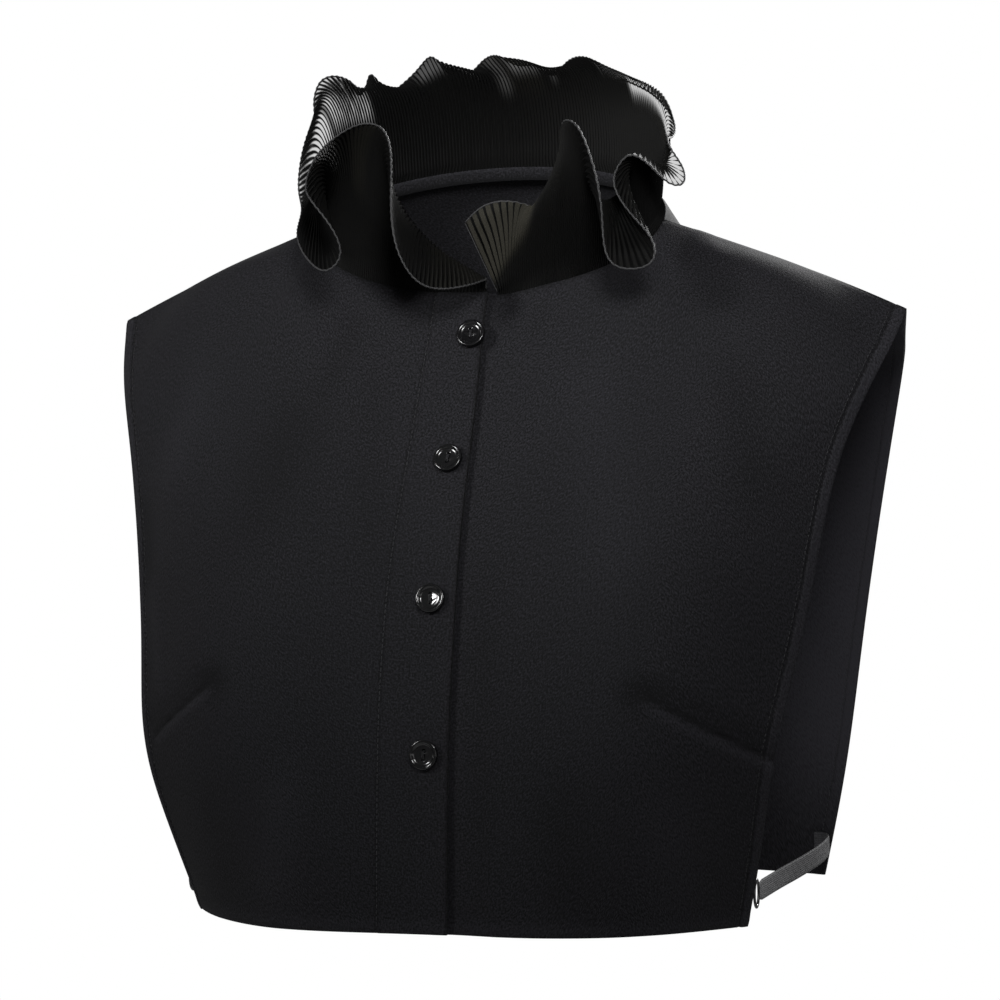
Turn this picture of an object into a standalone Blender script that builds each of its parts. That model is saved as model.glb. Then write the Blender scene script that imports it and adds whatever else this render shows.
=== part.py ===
# Ruffled collar: a stand-up ruffle of pleated organza on a sleeveless half bodice.
# The tables are in millimetres and degrees, the meshes in metres. +Z is up and the front faces -Y.
# The origin is midway between the two points where the shoulder seams meet the neck.

from collections import namedtuple

import bpy
import bmesh
import numpy as np

MM = 0.001

# Neck seam: an oval, longer sideways, that climbs from the front to the back
NECK_HALF = 80.5
NECK_MEAN = 43.0
NECK_SHIFT = 9.0
NECK_RISE = 28.5
NECK_DIP = 2.5

# Shoulder seam, from the neck to its tip
TIP_OUT = 180.0
TIP_BACK = 12.0
TIP_DROP = 41.0
TIP_BOW = 0.15

# Both halves come from one cut. On the wearer's left the back swings out from it all the way down
# and comes in a little at the hem, and the front does so only at the shoulder. The wearer's right
# flares below the bust, front and back
LEFT_SWING = 5.5
BACK_RETURN = 3.0
BACK_RETURN_FROM = -235.0
BACK_RETURN_TO = -300.0
FRONT_RETURN = 6.5
FRONT_RETURN_FROM = -42.0
FRONT_RETURN_TO = -100.0
RIGHT_FLARE = 4.5
FLARE_FROM = -150.0
FLARE_TO = -255.0
SWING_FROM = 0.42
SWING_TO = 0.95

# Cloth, and the air that is left between sewn pieces
CLOTH = 1.2
SEAM_GAP = 0.3

# Buttoned front: the wearer's right laps over the left, which lies sunk under it
PLACKET_FOLD = 1.0
LAP_AT_NECK = 9.0
LAP_BELOW = 12.0
STITCH_AT_NECK = 14.0
STITCH_AT_HEM = 18.5
UNDERLAP = 12.0
UNDERLAP_SINK = 3.0
UNDERLAP_FADE = 38.0
UNDERLAP_FALL = (0.0, 0.87, -0.3)
PLACKET_COLUMNS = 4

# A panel's top edge: the share of its columns along the neck, the rest along the shoulder,
# how far the cloth has gone one row below it (x, ahead of the edge, up), and the distances from
# the centre line between which one of these gives way to the next
NECK_SHARE = 0.6
FRONT_BELOW_NECK = (0.0, 8.0, -14.0)
BACK_BELOW_NECK = (0.0, 8.0, -11.0)
BELOW_SHOULDER = (0.0, 13.0, -3.0)
BELOW_TIP = (-2.0, 7.0, -9.0)
FRONT_CORNER_DROP = 5.0
OFF_NECK_FROM = 38.0
OFF_NECK_TO = 92.0
NEAR_TIP_FROM = 130.0
CORNER_TO = 120.0

# Powers that shape a level: how late it turns back to its side edge, how far out the bust swells,
# how rounded the swell is, and how late the level climbs or drops
TURN_BACK = 2.8
SWELL_PLACE = 1.4
SWELL_ROUND = 1.5
LEVEL_CLIMB = 2.4

# Ruffle
RUFFLE_HEIGHT = 70.0
RUFFLE_WALL = 1.0
RUFFLE_THINNEST = 0.6
RUFFLE_LIFT = 1.1
RUFFLE_ROWS = 5
END_SHARE = 0.45
END_TAPER = 22.0
BULGE_PER_REACH = 1.7
BULGE_LOSS = 20.0
EDGE_POINTS = 4000
TURN_EVENING = 41
EVENING = 0.09
NORMAL_EVENING = 5
PLEATS = 200
PLEAT_AT_SEAM = 0.25
PLEAT_AT_EDGE = 0.4
PLEAT_PER_WIDTH = 0.2
BEND_ROOM = 0.3

# Neckband
BAND_WALL = 1.0
BAND_INSET = 1.9
BAND_ABOVE = 0.6
BAND_HEIGHT = 6.0
BAND_START = 13.0
BAND_END = 357.0

# Trims
BUTTON_ROUND = 12.5
BUTTON_THICK = 2.6
BUTTON_GAP = 0.45
BUTTON_HOLE = 1.7
BUTTON_HOLES_APART = 3.4
STRAP_WIDTH = 9.0
STRAP_THICK = 1.0
RING_HEIGHT = 11.5
RING_WIDTH = 8.0
RING_WIRE = 1.2
RING_UP = -291.0

Spot = namedtuple("Spot", "x y z")
Place = namedtuple("Place", "x z")
Fold = namedtuple("Fold", "turn x y z")

# Where the buttons sit on the right front
BUTTON_PLACES = [Place(5.0, -49.2), Place(1.9, -102.2), Place(1.4, -160.2), Place(1.9, -224.8)]

# The strap of the wearer's left before the swing: sewn flat inside the back's side edge, it bends
# forward and runs towards the ring. Between two places it goes over from the back's swing to the front's
STRAP_BACK_TO = 70.0
STRAP_FRONT_FROM = -25.0
STRAP_PATH = [
    Spot(122.9, 86.7, -286.5), Spot(128.1, 84.8, -286.5), Spot(130.3, 81.8, -286.8),
    Spot(131.0, 76.0, -287.6), Spot(130.4, 60.0, -289.0), Spot(128.2, 35.0, -290.8),
    Spot(127.0, 10.0, -291.6), Spot(127.2, -15.0, -291.6), Spot(127.8, -33.9, -291.0),
]

# One row for each level of the front, from the chest to the hem.
# mid: the centre front; edge: the side edge; swell: how far the bust stands forward of the curve.
FRONT_LEVELS = [
    dict(mid_up=-62, mid_ahead=50, swell=3, edge_out=174.5, edge_ahead=6, edge_up=-64),
    dict(mid_up=-100, mid_ahead=69, swell=8, edge_out=165.5, edge_ahead=22, edge_up=-98),
    dict(mid_up=-145, mid_ahead=91, swell=12, edge_out=156.5, edge_ahead=37, edge_up=-144),
    dict(mid_up=-178, mid_ahead=101, swell=14, edge_out=149.0, edge_ahead=50, edge_up=-190),
    dict(mid_up=-207, mid_ahead=108, swell=12, edge_out=141.5, edge_ahead=60, edge_up=-229),
    dict(mid_up=-248, mid_ahead=113, swell=8, edge_out=134.0, edge_ahead=52, edge_up=-265),
    dict(mid_up=-300, mid_ahead=117, swell=4, edge_out=124.0, edge_ahead=40, edge_up=-305),
]

# The same columns for the back, from the shoulder blades to the hem
BACK_LEVELS = [
    dict(mid_up=-40, mid_ahead=81, swell=2, edge_out=171.0, edge_ahead=52, edge_up=-63),
    dict(mid_up=-90, mid_ahead=95, swell=4, edge_out=161.5, edge_ahead=71, edge_up=-98),
    dict(mid_up=-145, mid_ahead=101, swell=4, edge_out=152.5, edge_ahead=77, edge_up=-145),
    dict(mid_up=-195, mid_ahead=103, swell=2, edge_out=144.5, edge_ahead=80, edge_up=-195),
    dict(mid_up=-250, mid_ahead=104, swell=1, edge_out=136.5, edge_ahead=82, edge_up=-250),
    dict(mid_up=-302, mid_ahead=104, swell=0, edge_out=127.5, edge_ahead=88, edge_up=-302),
]

# The ruffle's free edge, a row for each turn of its folds, round the neck from the wearer's
# right end of the front (0) by the wearer's right (90) and the back (180) to the left end (360).
# Each row is a place on the edge, with the turn of the neck where its pleat is sewn.
FOLDS = [
    # the turned-down front end and the tall arch beside it
    Fold(-6, 11, -42, -25), Fold(1, 9, -54, -27), Fold(8, -1, -64, -29), Fold(15, -11, -69, -26),
    Fold(21, -20, -70, -12), Fold(26, -25, -63, 9), Fold(31, -29, -50, 29), Fold(36, -37, -39, 42),
    Fold(41, -48, -35, 44), Fold(45, -58, -38, 39), Fold(50, -66, -45, 29),
    # the bell that falls forward over the wearer's right shoulder
    Fold(54, -67, -54, 18), Fold(57.5, -63, -62, 12), Fold(60.5, -56, -67, 5), Fold(65, -49, -69, -4),
    Fold(69, -47, -68, -14), Fold(74, -53, -67, -20), Fold(78.5, -63, -60, -17),
    Fold(82, -73, -47, -9), Fold(86, -80, -30, -1), Fold(90, -86, -8, 8),
    # the side and the fan behind it
    Fold(94, -93, 8, 17), Fold(98, -97, 21, 28), Fold(102, -98, 29, 37), Fold(106, -97, 34, 45),
    Fold(110, -95, 36, 52), Fold(112.5, -96, 39, 58), Fold(115, -96, 42, 64),
    Fold(118, -94, 45, 69), Fold(121, -90, 49, 71), Fold(124, -86, 55, 70), Fold(127, -84, 61, 67),
    Fold(130, -83, 66, 63), Fold(132.5, -80, 67, 67), Fold(135, -77, 65, 72),
    Fold(137.5, -75, 67, 70), Fold(140, -75, 72, 65), Fold(144, -72, 76, 64),
    # the waves of the back
    Fold(148, -66, 79, 68), Fold(152, -58, 79, 75), Fold(156, -51, 76, 80), Fold(159, -46, 74, 77),
    Fold(163, -42, 75, 72), Fold(167, -38, 79, 69), Fold(172, -34, 84, 72), Fold(176, -28, 85, 78),
    Fold(180, -22, 82, 80), Fold(184, -15, 77, 78), Fold(188, -9, 76, 75), Fold(192, -5, 81, 75),
    Fold(196, -1, 82, 75), Fold(200, 5, 77, 71), Fold(204, 12, 71, 70),
    # the large fan with its lip, and the small fan
    Fold(208, 16, 70, 74), Fold(213, 22, 69, 77), Fold(219, 31, 65, 75), Fold(225, 37, 60, 69),
    Fold(230, 42, 56, 65), Fold(235, 47, 55, 65), Fold(240, 53, 54, 63), Fold(245, 61, 51, 59),
    Fold(249, 68, 45, 54), Fold(253, 75, 37, 47), Fold(257, 79, 27, 41), Fold(261, 81, 15, 37),
    Fold(265, 82, 5, 36), Fold(268, 83, -2, 35), Fold(271, 85, -7, 32), Fold(274, 89, -11, 27),
    Fold(277, 93, -14, 21), Fold(280, 94, -20, 15), Fold(283, 90, -27, 15), Fold(286, 85, -31, 20),
    # the arch and the bell at the front left
    Fold(289, 80, -34, 25), Fold(292, 75, -37, 27), Fold(295, 71, -40, 23), Fold(298, 70, -45, 15),
    Fold(301, 76, -50, 5), Fold(304, 84, -55, -3), Fold(307, 90, -57, -11),
    Fold(310, 90, -60, -19), Fold(313, 82, -63, -22), Fold(316, 73, -62, -19),
    Fold(318, 69, -59, -11), Fold(320, 67, -54, -1),
    # the narrow upright fold and the left end, turned in
    Fold(321, 64, -48, 12), Fold(323, 59, -43, 27), Fold(325, 53, -39, 39), Fold(328, 47, -33, 43),
    Fold(331, 42, -26, 42), Fold(333, 40, -19, 35), Fold(335, 43, -17, 25), Fold(337, 47, -18, 16),
    Fold(339, 48, -20, 9), Fold(341, 44, -22, 5), Fold(343, 36, -24, 4), Fold(345, 25, -24, 7),
    Fold(347, 15, -24, 9), Fold(349, 5, -25, 7), Fold(351, -3, -27, 0),
]


def spline(knots, values, at):
    """Natural cubic spline through the values, read at the given places."""
    knots = np.asarray(knots, float)
    values = np.asarray(values, float)
    at = np.asarray(at, float)
    count = len(knots)
    step = np.diff(knots)
    slope = np.diff(values, axis=0) / step[:, None]
    system = np.eye(count)
    right = np.zeros(values.shape)
    for i in range(1, count - 1):
        system[i, i - 1] = step[i - 1]
        system[i, i] = 2 * (step[i - 1] + step[i])
        system[i, i + 1] = step[i]
        right[i] = 6 * (slope[i] - slope[i - 1])
    bend = np.linalg.solve(system, right)
    place = np.clip(np.searchsorted(knots, at) - 1, 0, count - 2)
    width = step[place][:, None]
    near = (at - knots[place])[:, None]
    far = width - near
    low, high = values[place], values[place + 1]
    curve = bend[place] * (far ** 3 / width - far * width)
    curve += bend[place + 1] * (near ** 3 / width - near * width)
    return (low * far + high * near) / width + curve / 6


def smooth_step(low, high, value):
    share = np.clip((value - low) / (high - low), 0, 1)
    return share * share * (3 - 2 * share)


def running_length(line):
    """How far along a line of points each of them lies."""
    return np.concatenate([[0], np.cumsum(np.linalg.norm(np.diff(line, axis=0), axis=1))])


def unit(vectors):
    return vectors / np.maximum(np.linalg.norm(vectors, axis=-1, keepdims=True), 1e-9)


def neck_point(turn):
    """The neck seam, by degrees round from the centre front through the wearer's right."""
    angle = np.radians(np.asarray(turn, float))
    ahead = np.cos(angle)
    return np.stack([
        -NECK_HALF * np.sin(angle),
        -NECK_MEAN * ahead + NECK_SHIFT * ahead ** 2,
        -NECK_RISE * ahead - NECK_DIP * ahead ** 2,
    ], -1)


def out_of_neck(turn):
    """Level directions out of the neck, square to its seam."""
    run = neck_point(turn + 0.5) - neck_point(turn - 0.5)
    return unit(np.stack([-run[:, 1], run[:, 0], 0 * turn], -1))


def shoulder_point(share):
    """The shoulder seam of the +X side, from the neck (0) to the tip (1)."""
    share = np.asarray(share, float)
    drop = share - TIP_BOW * share * (1 - share)
    return np.stack([NECK_HALF + (TIP_OUT - NECK_HALF) * share, TIP_BACK * share, -TIP_DROP * drop], -1)


def level_point(level, out, facing):
    """A point of one level, out from the centre line. facing is -1 on the front and 1 on the back."""
    share = np.clip(np.abs(out) / level["edge_out"], 0, 1)
    fall = (level["mid_ahead"] - level["edge_ahead"]) * share ** TURN_BACK
    swell = level["swell"] * np.sin(np.pi * share ** SWELL_PLACE) ** SWELL_ROUND
    ahead = level["mid_ahead"] - fall + swell
    up = level["mid_up"] + (level["edge_up"] - level["mid_up"]) * share ** LEVEL_CLIMB
    return np.stack([out, facing * ahead, up], -1)


def top_edge(facing, bands, shares):
    """A half panel's top edge: the neck seam out to the shoulder, then the shoulder seam to its tip."""
    def at_neck(out):
        angle = np.degrees(np.arcsin(out / NECK_HALF))
        return neck_point(-angle if facing < 0 else 180 + angle)

    points = [at_neck(top) for top, hem in bands[:-1]]
    first = np.degrees(np.arcsin(bands[-1][0] / NECK_HALF))
    for share in shares:
        if share <= NECK_SHARE:
            points.append(at_neck(NECK_HALF * np.sin(np.radians(first + (90 - first) * share / NECK_SHARE))))
        else:
            points.append(shoulder_point((share - NECK_SHARE) / (1 - NECK_SHARE)))
    return np.array(points)


def second_row(top, facing):
    """The row below a panel's top edge: steep under the neck, nearly level under the shoulder."""
    turned = np.array([1, facing, 1])
    width = np.abs(top[:, :1])
    off_neck = smooth_step(OFF_NECK_FROM, OFF_NECK_TO, width)
    near_tip = smooth_step(NEAR_TIP_FROM, TIP_OUT, width)
    neck = turned * (FRONT_BELOW_NECK if facing < 0 else BACK_BELOW_NECK)
    shoulder = turned * BELOW_SHOULDER * (1 - near_tip) + turned * BELOW_TIP * near_tip
    if facing < 0:
        shoulder = shoulder - [0, 0, FRONT_CORNER_DROP] * (1 - smooth_step(NECK_HALF, CORNER_TO, width))
    return top + neck * (1 - off_neck) + shoulder * off_neck


def swing(side, facing, up):
    """How far outwards a half of the front (facing -1) or the back (1) has moved at some heights."""
    if side < 0:
        return RIGHT_FLARE * smooth_step(FLARE_FROM, FLARE_TO, up)
    if facing > 0:
        return LEFT_SWING - BACK_RETURN * smooth_step(BACK_RETURN_FROM, BACK_RETURN_TO, up)
    return LEFT_SWING - FRONT_RETURN * smooth_step(FRONT_RETURN_FROM, FRONT_RETURN_TO, up)


def half_panel(levels, facing, side, bands, shares, rows):
    """Middle surface of half a panel, measured out from the centre, rows down by columns out.

    bands are pairs of distances from the centre line, at the neck and at the hem, for the columns
    of the front's placket, the last of them where the plain cloth begins. shares are the plain
    columns, from 0 there to 1 at the side edge.
    """
    neck_up = -NECK_RISE - NECK_DIP
    hem_up = levels[-1]["mid_up"]
    top = top_edge(facing, bands, shares)
    lines = [top, second_row(top, facing)]
    for level in levels:
        down = (level["mid_up"] - neck_up) / (hem_up - neck_up)
        outs = [neck + (hem - neck) * np.clip(2 * down, 0, 1) for neck, hem in bands]
        outs = outs[:-1] + [outs[-1] + (level["edge_out"] - outs[-1]) * share for share in shares]
        lines.append(level_point(level, np.array(outs), facing))
    lines = np.array(lines)
    reach = np.array([TIP_OUT, TIP_OUT] + [level["edge_out"] for level in levels])[:, None]
    lines[..., 0] += swing(side, facing, lines[..., 2]) * smooth_step(SWING_FROM, SWING_TO, lines[..., 0] / reach)
    grid = np.empty((len(rows), lines.shape[1], 3))
    for column in range(lines.shape[1]):
        knots = running_length(lines[:, column])
        grid[:, column] = spline(knots / knots[-1], lines[:, column], rows)
    return grid


def surface_normals(grid, inside):
    """Unit normals of a grid, turned away from a point inside."""
    down = np.gradient(grid, axis=0)
    across = np.gradient(grid, axis=1)
    normals = unit(np.cross(down, across))
    away = np.sum(normals * (grid - inside), axis=-1)
    if away.sum() < 0:
        normals = -normals
    return normals


def seam_normals(grid, normals):
    """Makes the two panels' normals agree along the shoulder seam."""
    width = np.abs(grid[0, :, 0])
    side = np.sign(grid[0, :, 0])
    slope = np.arctan2(TIP_DROP, TIP_OUT - NECK_HALF)
    shared = np.stack([side * np.sin(slope), 0 * side, 0 * side + np.cos(slope)], -1)
    weight = smooth_step(60, NECK_HALF - 1, width)[:, None]
    normals[0] = unit(normals[0] * (1 - weight) + shared * weight)
    return normals


def new_material(name, color, roughness):
    material = bpy.data.materials.new(name)
    material.use_nodes = True
    shader = material.node_tree.nodes["Principled BSDF"]
    shader.inputs["Base Color"].default_value = (*color, 1)
    shader.inputs["Roughness"].default_value = roughness
    shader.inputs["Metallic"].default_value = 0
    return material


def new_object(name, vertices, faces, material, sharp=40):
    """A named object from points in millimetres, its faces turned outwards."""
    mesh = bpy.data.meshes.new(name)
    mesh.from_pydata((np.asarray(vertices) * MM).tolist(), [], faces)
    shape = bmesh.new()
    shape.from_mesh(mesh)
    bmesh.ops.recalc_face_normals(shape, faces=shape.faces)
    shape.to_mesh(mesh)
    shape.free()
    mesh.shade_smooth()
    mesh.set_sharp_from_angle(angle=np.radians(sharp))
    mesh.materials.append(material)
    piece = bpy.data.objects.new(name, mesh)
    bpy.context.scene.collection.objects.link(piece)
    return piece


def wall(name, outer, inner, material):
    """A cloth wall between two grids of points, rimmed all round."""
    rows, columns = outer.shape[:2]
    vertices = np.concatenate([outer.reshape(-1, 3), inner.reshape(-1, 3)])
    under = rows * columns
    faces = []
    for row in range(rows - 1):
        for column in range(columns - 1):
            a = row * columns + column
            b, c, d = a + 1, a + columns + 1, a + columns
            faces.append((a, b, c, d))
            faces.append((under + d, under + c, under + b, under + a))
    rim = list(range(columns))
    rim += [row * columns + columns - 1 for row in range(1, rows)]
    rim += [(rows - 1) * columns + column for column in range(columns - 2, -1, -1)]
    rim += [row * columns for row in range(rows - 2, 0, -1)]
    for a, b in zip(rim, rim[1:] + rim[:1]):
        faces.append((b, a, under + a, under + b))
    return new_object(name, vertices, faces, material)


# Columns of a panel from its centre (0) to its side edge (1), closer together under the neck
PANEL_SHARES = [*np.linspace(0, NECK_SHARE, 9), *np.linspace(NECK_SHARE, 1, 7)[1:]]


def panel_rows(count):
    """Places down a panel, closer together near the shoulder."""
    place = np.linspace(0, 1, count)
    return 0.35 * place ** 2 + 0.65 * place


def front_grid(side):
    """Middle surface and normals of one front. side is -1 for the wearer's right, which laps over."""
    edge = (-LAP_AT_NECK, -LAP_BELOW) if side < 0 else (-UNDERLAP, -UNDERLAP)
    bands = [edge, (-3.5, -4.0), (4.0, 5.0), (STITCH_AT_NECK, STITCH_AT_HEM)]
    grid = half_panel(FRONT_LEVELS, -1, side, bands, PANEL_SHARES, panel_rows(17))
    inside = np.array([60.0, 20.0, -150.0])
    normals = seam_normals(grid, surface_normals(grid, inside))
    if side > 0:
        sink = UNDERLAP_SINK * (1 - smooth_step(LAP_BELOW, UNDERLAP_FADE, grid[..., 0]))
        grid = grid - normals * sink[..., None]
    grid[0, grid[0, :, 0] > NECK_HALF - 0.1, 1] -= SEAM_GAP / 2
    if side < 0:
        grid[..., 0] *= -1
        normals[..., 0] *= -1
    return grid, normals


def back_grid():
    """Middle surface and normals of the back, from the wearer's right edge to the left."""
    halves = []
    for side in (-1, 1):
        half = half_panel(BACK_LEVELS, 1, side, [(0.0, 0.0)], PANEL_SHARES, panel_rows(16))
        normals = seam_normals(half, surface_normals(half, np.array([60.0, -20.0, -150.0])))
        half[0, half[0, :, 0] > NECK_HALF - 0.1, 1] += SEAM_GAP / 2
        normals[:, 0, 0] = 0
        halves.append((half * [side, 1, 1], unit(normals) * [side, 1, 1]))
    (right, right_normals), (left, left_normals) = halves
    grid = np.concatenate([right[:, :0:-1], left], axis=1)
    normals = np.concatenate([right_normals[:, :0:-1], left_normals], axis=1)
    return grid, normals


def make_front(name, side, material):
    grid, normals = front_grid(side)
    below = np.full(grid.shape[:2], CLOTH / 2)
    if side < 0:
        below[:, :3] += PLACKET_FOLD
    return wall(name, grid + normals * CLOTH / 2, grid - normals * below[..., None], material)


def bezier(start, control, end, share):
    return (1 - share) ** 2 * start + 2 * share * (1 - share) * control + share ** 2 * end


def underlap_sink(seam, turn):
    """How far the wearer's left side of the neck seam is sunk under the right."""
    return np.where(turn > 270, UNDERLAP_SINK * (1 - smooth_step(LAP_BELOW, UNDERLAP_FADE, seam[:, 0])), 0)


def evened(line, reach):
    """A row of points averaged with its neighbours, its two ends kept."""
    reach = max(1, int(reach))
    window = np.hanning(2 * reach + 1)
    window /= window.sum()
    before = 2 * line[0] - line[reach - 1:0:-1]
    after = 2 * line[-1] - line[-2:-reach - 1:-1]
    padded = np.concatenate([before, line, after])
    return np.stack([np.convolve(padded[:, k], window[1:-1], "valid") for k in range(padded.shape[1])], -1)


def ruffle_lines(columns):
    """Start, control and end points of the pleats: each stands up from the seam and falls to its end."""
    folds = np.array(FOLDS, float)
    ends = folds[:, 1:]
    knots = np.concatenate([[0], np.cumsum(np.linalg.norm(np.diff(ends, axis=0), axis=1) ** 0.5)])
    fine = np.linspace(0, knots[-1], EDGE_POINTS)
    edge = spline(knots, ends, fine)
    turn = evened(np.interp(fine, knots, folds[:, 0])[:, None], TURN_EVENING)[:, 0]
    seam = neck_point(turn)
    run_edge = running_length(edge)
    run_seam = running_length(seam)
    mixed = run_edge / run_edge[-1] + run_seam / run_seam[-1]
    index = np.arange(len(fine))
    place = np.interp(np.linspace(0, mixed[-1], columns), mixed, index)
    end = np.stack([np.interp(place, index, edge[:, k]) for k in range(3)], -1)
    start = np.stack([np.interp(place, index, seam[:, k]) for k in range(3)], -1)
    start[:, 2] += RUFFLE_LIFT
    start += underlap_sink(start, np.interp(place, index, turn))[:, None] * UNDERLAP_FALL
    from_end = np.minimum(index[-1] - place, place) / index[-1] * run_seam[-1]
    height = RUFFLE_HEIGHT * (END_SHARE + (1 - END_SHARE) * smooth_step(0, END_TAPER, from_end))
    steps = np.linspace(0, 1, 25)[:, None, None]
    low = np.zeros(columns)
    high = np.full(columns, 4 * RUFFLE_HEIGHT)
    rise = np.array([0, 0, 1.0])
    for _ in range(30):
        middle = (low + high) / 2
        line = bezier(start, start + rise * middle[:, None], end, steps)
        length = np.linalg.norm(np.diff(line, axis=0), axis=-1).sum(axis=0)
        low = np.where(length < height, middle, low)
        high = np.where(length < height, high, middle)
    across = np.linalg.norm((end - start)[:, :2], axis=1)
    room = np.maximum(end[:, 2] - start[:, 2], 0) + np.maximum(BULGE_PER_REACH * across - BULGE_LOSS, 1)
    return start, start + rise * np.minimum(low, room)[:, None], end


def ruffle_surface(columns, rows):
    """Middle surface of the ruffle without its pleats, and its normals, rows from the seam up."""
    start, control, end = ruffle_lines(columns)
    share = np.linspace(0, 1, rows)[:, None, None]
    grid = bezier(start, control, end, share)
    for row in range(1, rows - 1):
        height = row / (rows - 1)
        grid[row] = evened(grid[row], EVENING * columns * (1 - height) ** 0.7)
    normals = unit(np.cross(np.gradient(grid, axis=1), np.gradient(grid, axis=0)))
    for row in range(rows):
        normals[row] = evened(normals[row], NORMAL_EVENING)
    return grid, unit(normals)


def least_around(values):
    """Each value or its smaller neighbour along the ruffle."""
    return np.minimum(values, np.minimum(np.roll(values, 1, axis=1), np.roll(values, -1, axis=1)))


def make_ruffle(material):
    """The pleated wall: a zigzag of one fold a column, shallower and thinner in its tightest bends."""
    columns = 2 * PLEATS + 1
    grid, normals = ruffle_surface(columns, RUFFLE_ROWS)
    width = np.linalg.norm(np.cross(np.gradient(grid, axis=1), unit(np.gradient(grid, axis=0))), axis=-1)
    bend = np.linalg.norm(np.diff(normals, axis=1), axis=-1)
    bend = np.maximum(np.pad(bend, ((0, 0), (0, 1)), "edge"), np.pad(bend, ((0, 0), (1, 0)), "edge"))
    room = BEND_ROOM * width / np.maximum(bend, 1e-6)
    half = least_around(np.clip(room, RUFFLE_THINNEST / 2, RUFFLE_WALL / 2))
    depth = np.linspace(PLEAT_AT_SEAM, PLEAT_AT_EDGE, RUFFLE_ROWS)[:, None]
    depth = least_around(np.clip(np.minimum(PLEAT_PER_WIDTH * width, room - half), 0, depth))
    zigzag = np.where(np.arange(columns) % 2 == 0, 1.0, -1.0)
    middle = grid + normals * (depth * zigzag)[..., None]
    offset = normals * half[..., None]
    return wall("ruffle", middle + offset, middle - offset, material)


def make_neckband(material):
    """A narrow band that stands inside the neck seam, open at the centre front."""
    turn = np.linspace(BAND_START, BAND_END, 65)
    out = out_of_neck(turn)
    seam = neck_point(turn)
    sink = underlap_sink(seam, turn)
    line = seam - out * (BAND_INSET + sink)[:, None]
    line[:, 2] -= 0.5 * sink
    levels = [BAND_ABOVE, BAND_ABOVE - BAND_HEIGHT / 2, BAND_ABOVE - BAND_HEIGHT]
    grid = np.array([line + np.array([0, 0, level]) for level in levels])
    half = np.broadcast_to(out * BAND_WALL / 2, grid.shape)
    wall("neckband", grid + half, grid - half, material)


def revolve(profile, segments):
    """Points and faces of a solid turned about Z from (radius, height) pairs, both ends on the axis."""
    vertices = [(0, 0, profile[0][1])]
    for radius, height in profile[1:-1]:
        for step in range(segments):
            angle = 2 * np.pi * step / segments
            vertices.append((radius * np.cos(angle), radius * np.sin(angle), height))
    vertices.append((0, 0, profile[-1][1]))
    faces = []
    rings = len(profile) - 2
    for step in range(segments):
        after = (step + 1) % segments
        faces.append((0, 1 + after, 1 + step))
        for ring in range(rings - 1):
            low = 1 + ring * segments
            high = low + segments
            faces.append((low + step, low + after, high + after, high + step))
        top = 1 + (rings - 1) * segments
        faces.append((top + step, top + after, len(vertices) - 1))
    return np.array(vertices), faces


def placed(vertices, spot, facing):
    """Turns points so that their Z looks along facing, their Y stays as high as it can, and moves them."""
    facing = unit(np.asarray(facing, float))
    across = unit(np.cross([0, 0, 1.0], facing))
    high = np.cross(facing, across)
    return spot + vertices @ np.array([across, high, facing])


def front_spot(place):
    """The point and normal of the right front's outer face at a place seen from the front."""
    both = np.concatenate(front_grid(-1), axis=2)[:, :PLACKET_COLUMNS]
    line = np.array([[np.interp(-place.x, -row[:, 0], value) for value in row.T] for row in both])
    order = np.argsort(line[:, 2])
    found = np.array([np.interp(place.z, line[order, 2], value[order]) for value in line.T])
    facing = unit(found[3:])
    return found[:3] + facing * CLOTH / 2, facing


def make_button(name, place, material):
    radius = BUTTON_ROUND / 2
    rim = BUTTON_THICK
    profile = [(0, 0), (radius - 0.7, 0), (radius, 0.7), (radius, rim - 0.8), (radius - 0.6, rim),
               (radius - 1.3, rim - 0.1), (radius - 2.1, rim - 0.9), (0, rim - 1.05)]
    vertices, faces = revolve(profile, 24)
    spot, facing = front_spot(place)
    spot = spot + facing * BUTTON_GAP
    button = new_object(name, placed(vertices, spot, facing), faces, material)
    hole_points, hole_faces = revolve([(0, -1), (BUTTON_HOLE / 2, -1), (BUTTON_HOLE / 2, 4), (0, 4)], 10)
    both = []
    for shift in (-BUTTON_HOLES_APART / 2, BUTTON_HOLES_APART / 2):
        both.append(hole_points + np.array([0, shift, 0]))
    count = len(hole_points)
    faces = hole_faces + [tuple(count + corner for corner in face) for face in hole_faces]
    cutter = new_object(name + "_holes", placed(np.concatenate(both), spot, facing), faces, material)
    cutter.display_type = "WIRE"
    cutter.hide_render = True
    cut = button.modifiers.new("holes", "BOOLEAN")
    cut.operation = "DIFFERENCE"
    cut.solver = "EXACT"
    cut.object = cutter


def make_strap(name, side, material):
    """A flat elastic, on edge, from the back's lower corner to the ring."""
    path = np.array(STRAP_PATH, float)
    knots = running_length(path)
    line = spline(knots, path, np.linspace(0, knots[-1], 25))
    ahead = smooth_step(STRAP_BACK_TO, STRAP_FRONT_FROM, line[:, 1])
    out = swing(side, 1, line[:, 2]) * (1 - ahead) + swing(side, -1, line[:, 2]) * ahead
    line[:, 0] = (line[:, 0] + out) * side
    run = unit(np.gradient(line, axis=0))
    flat = unit(np.cross(run, [0, 0, 1.0]))
    high = np.cross(flat, run)
    grid = np.array([line + high * STRAP_WIDTH * share for share in (0.5, 0, -0.5)])
    half = np.broadcast_to(flat * STRAP_THICK / 2, grid.shape)
    wall(name, grid + half, grid - half, material)


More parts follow.
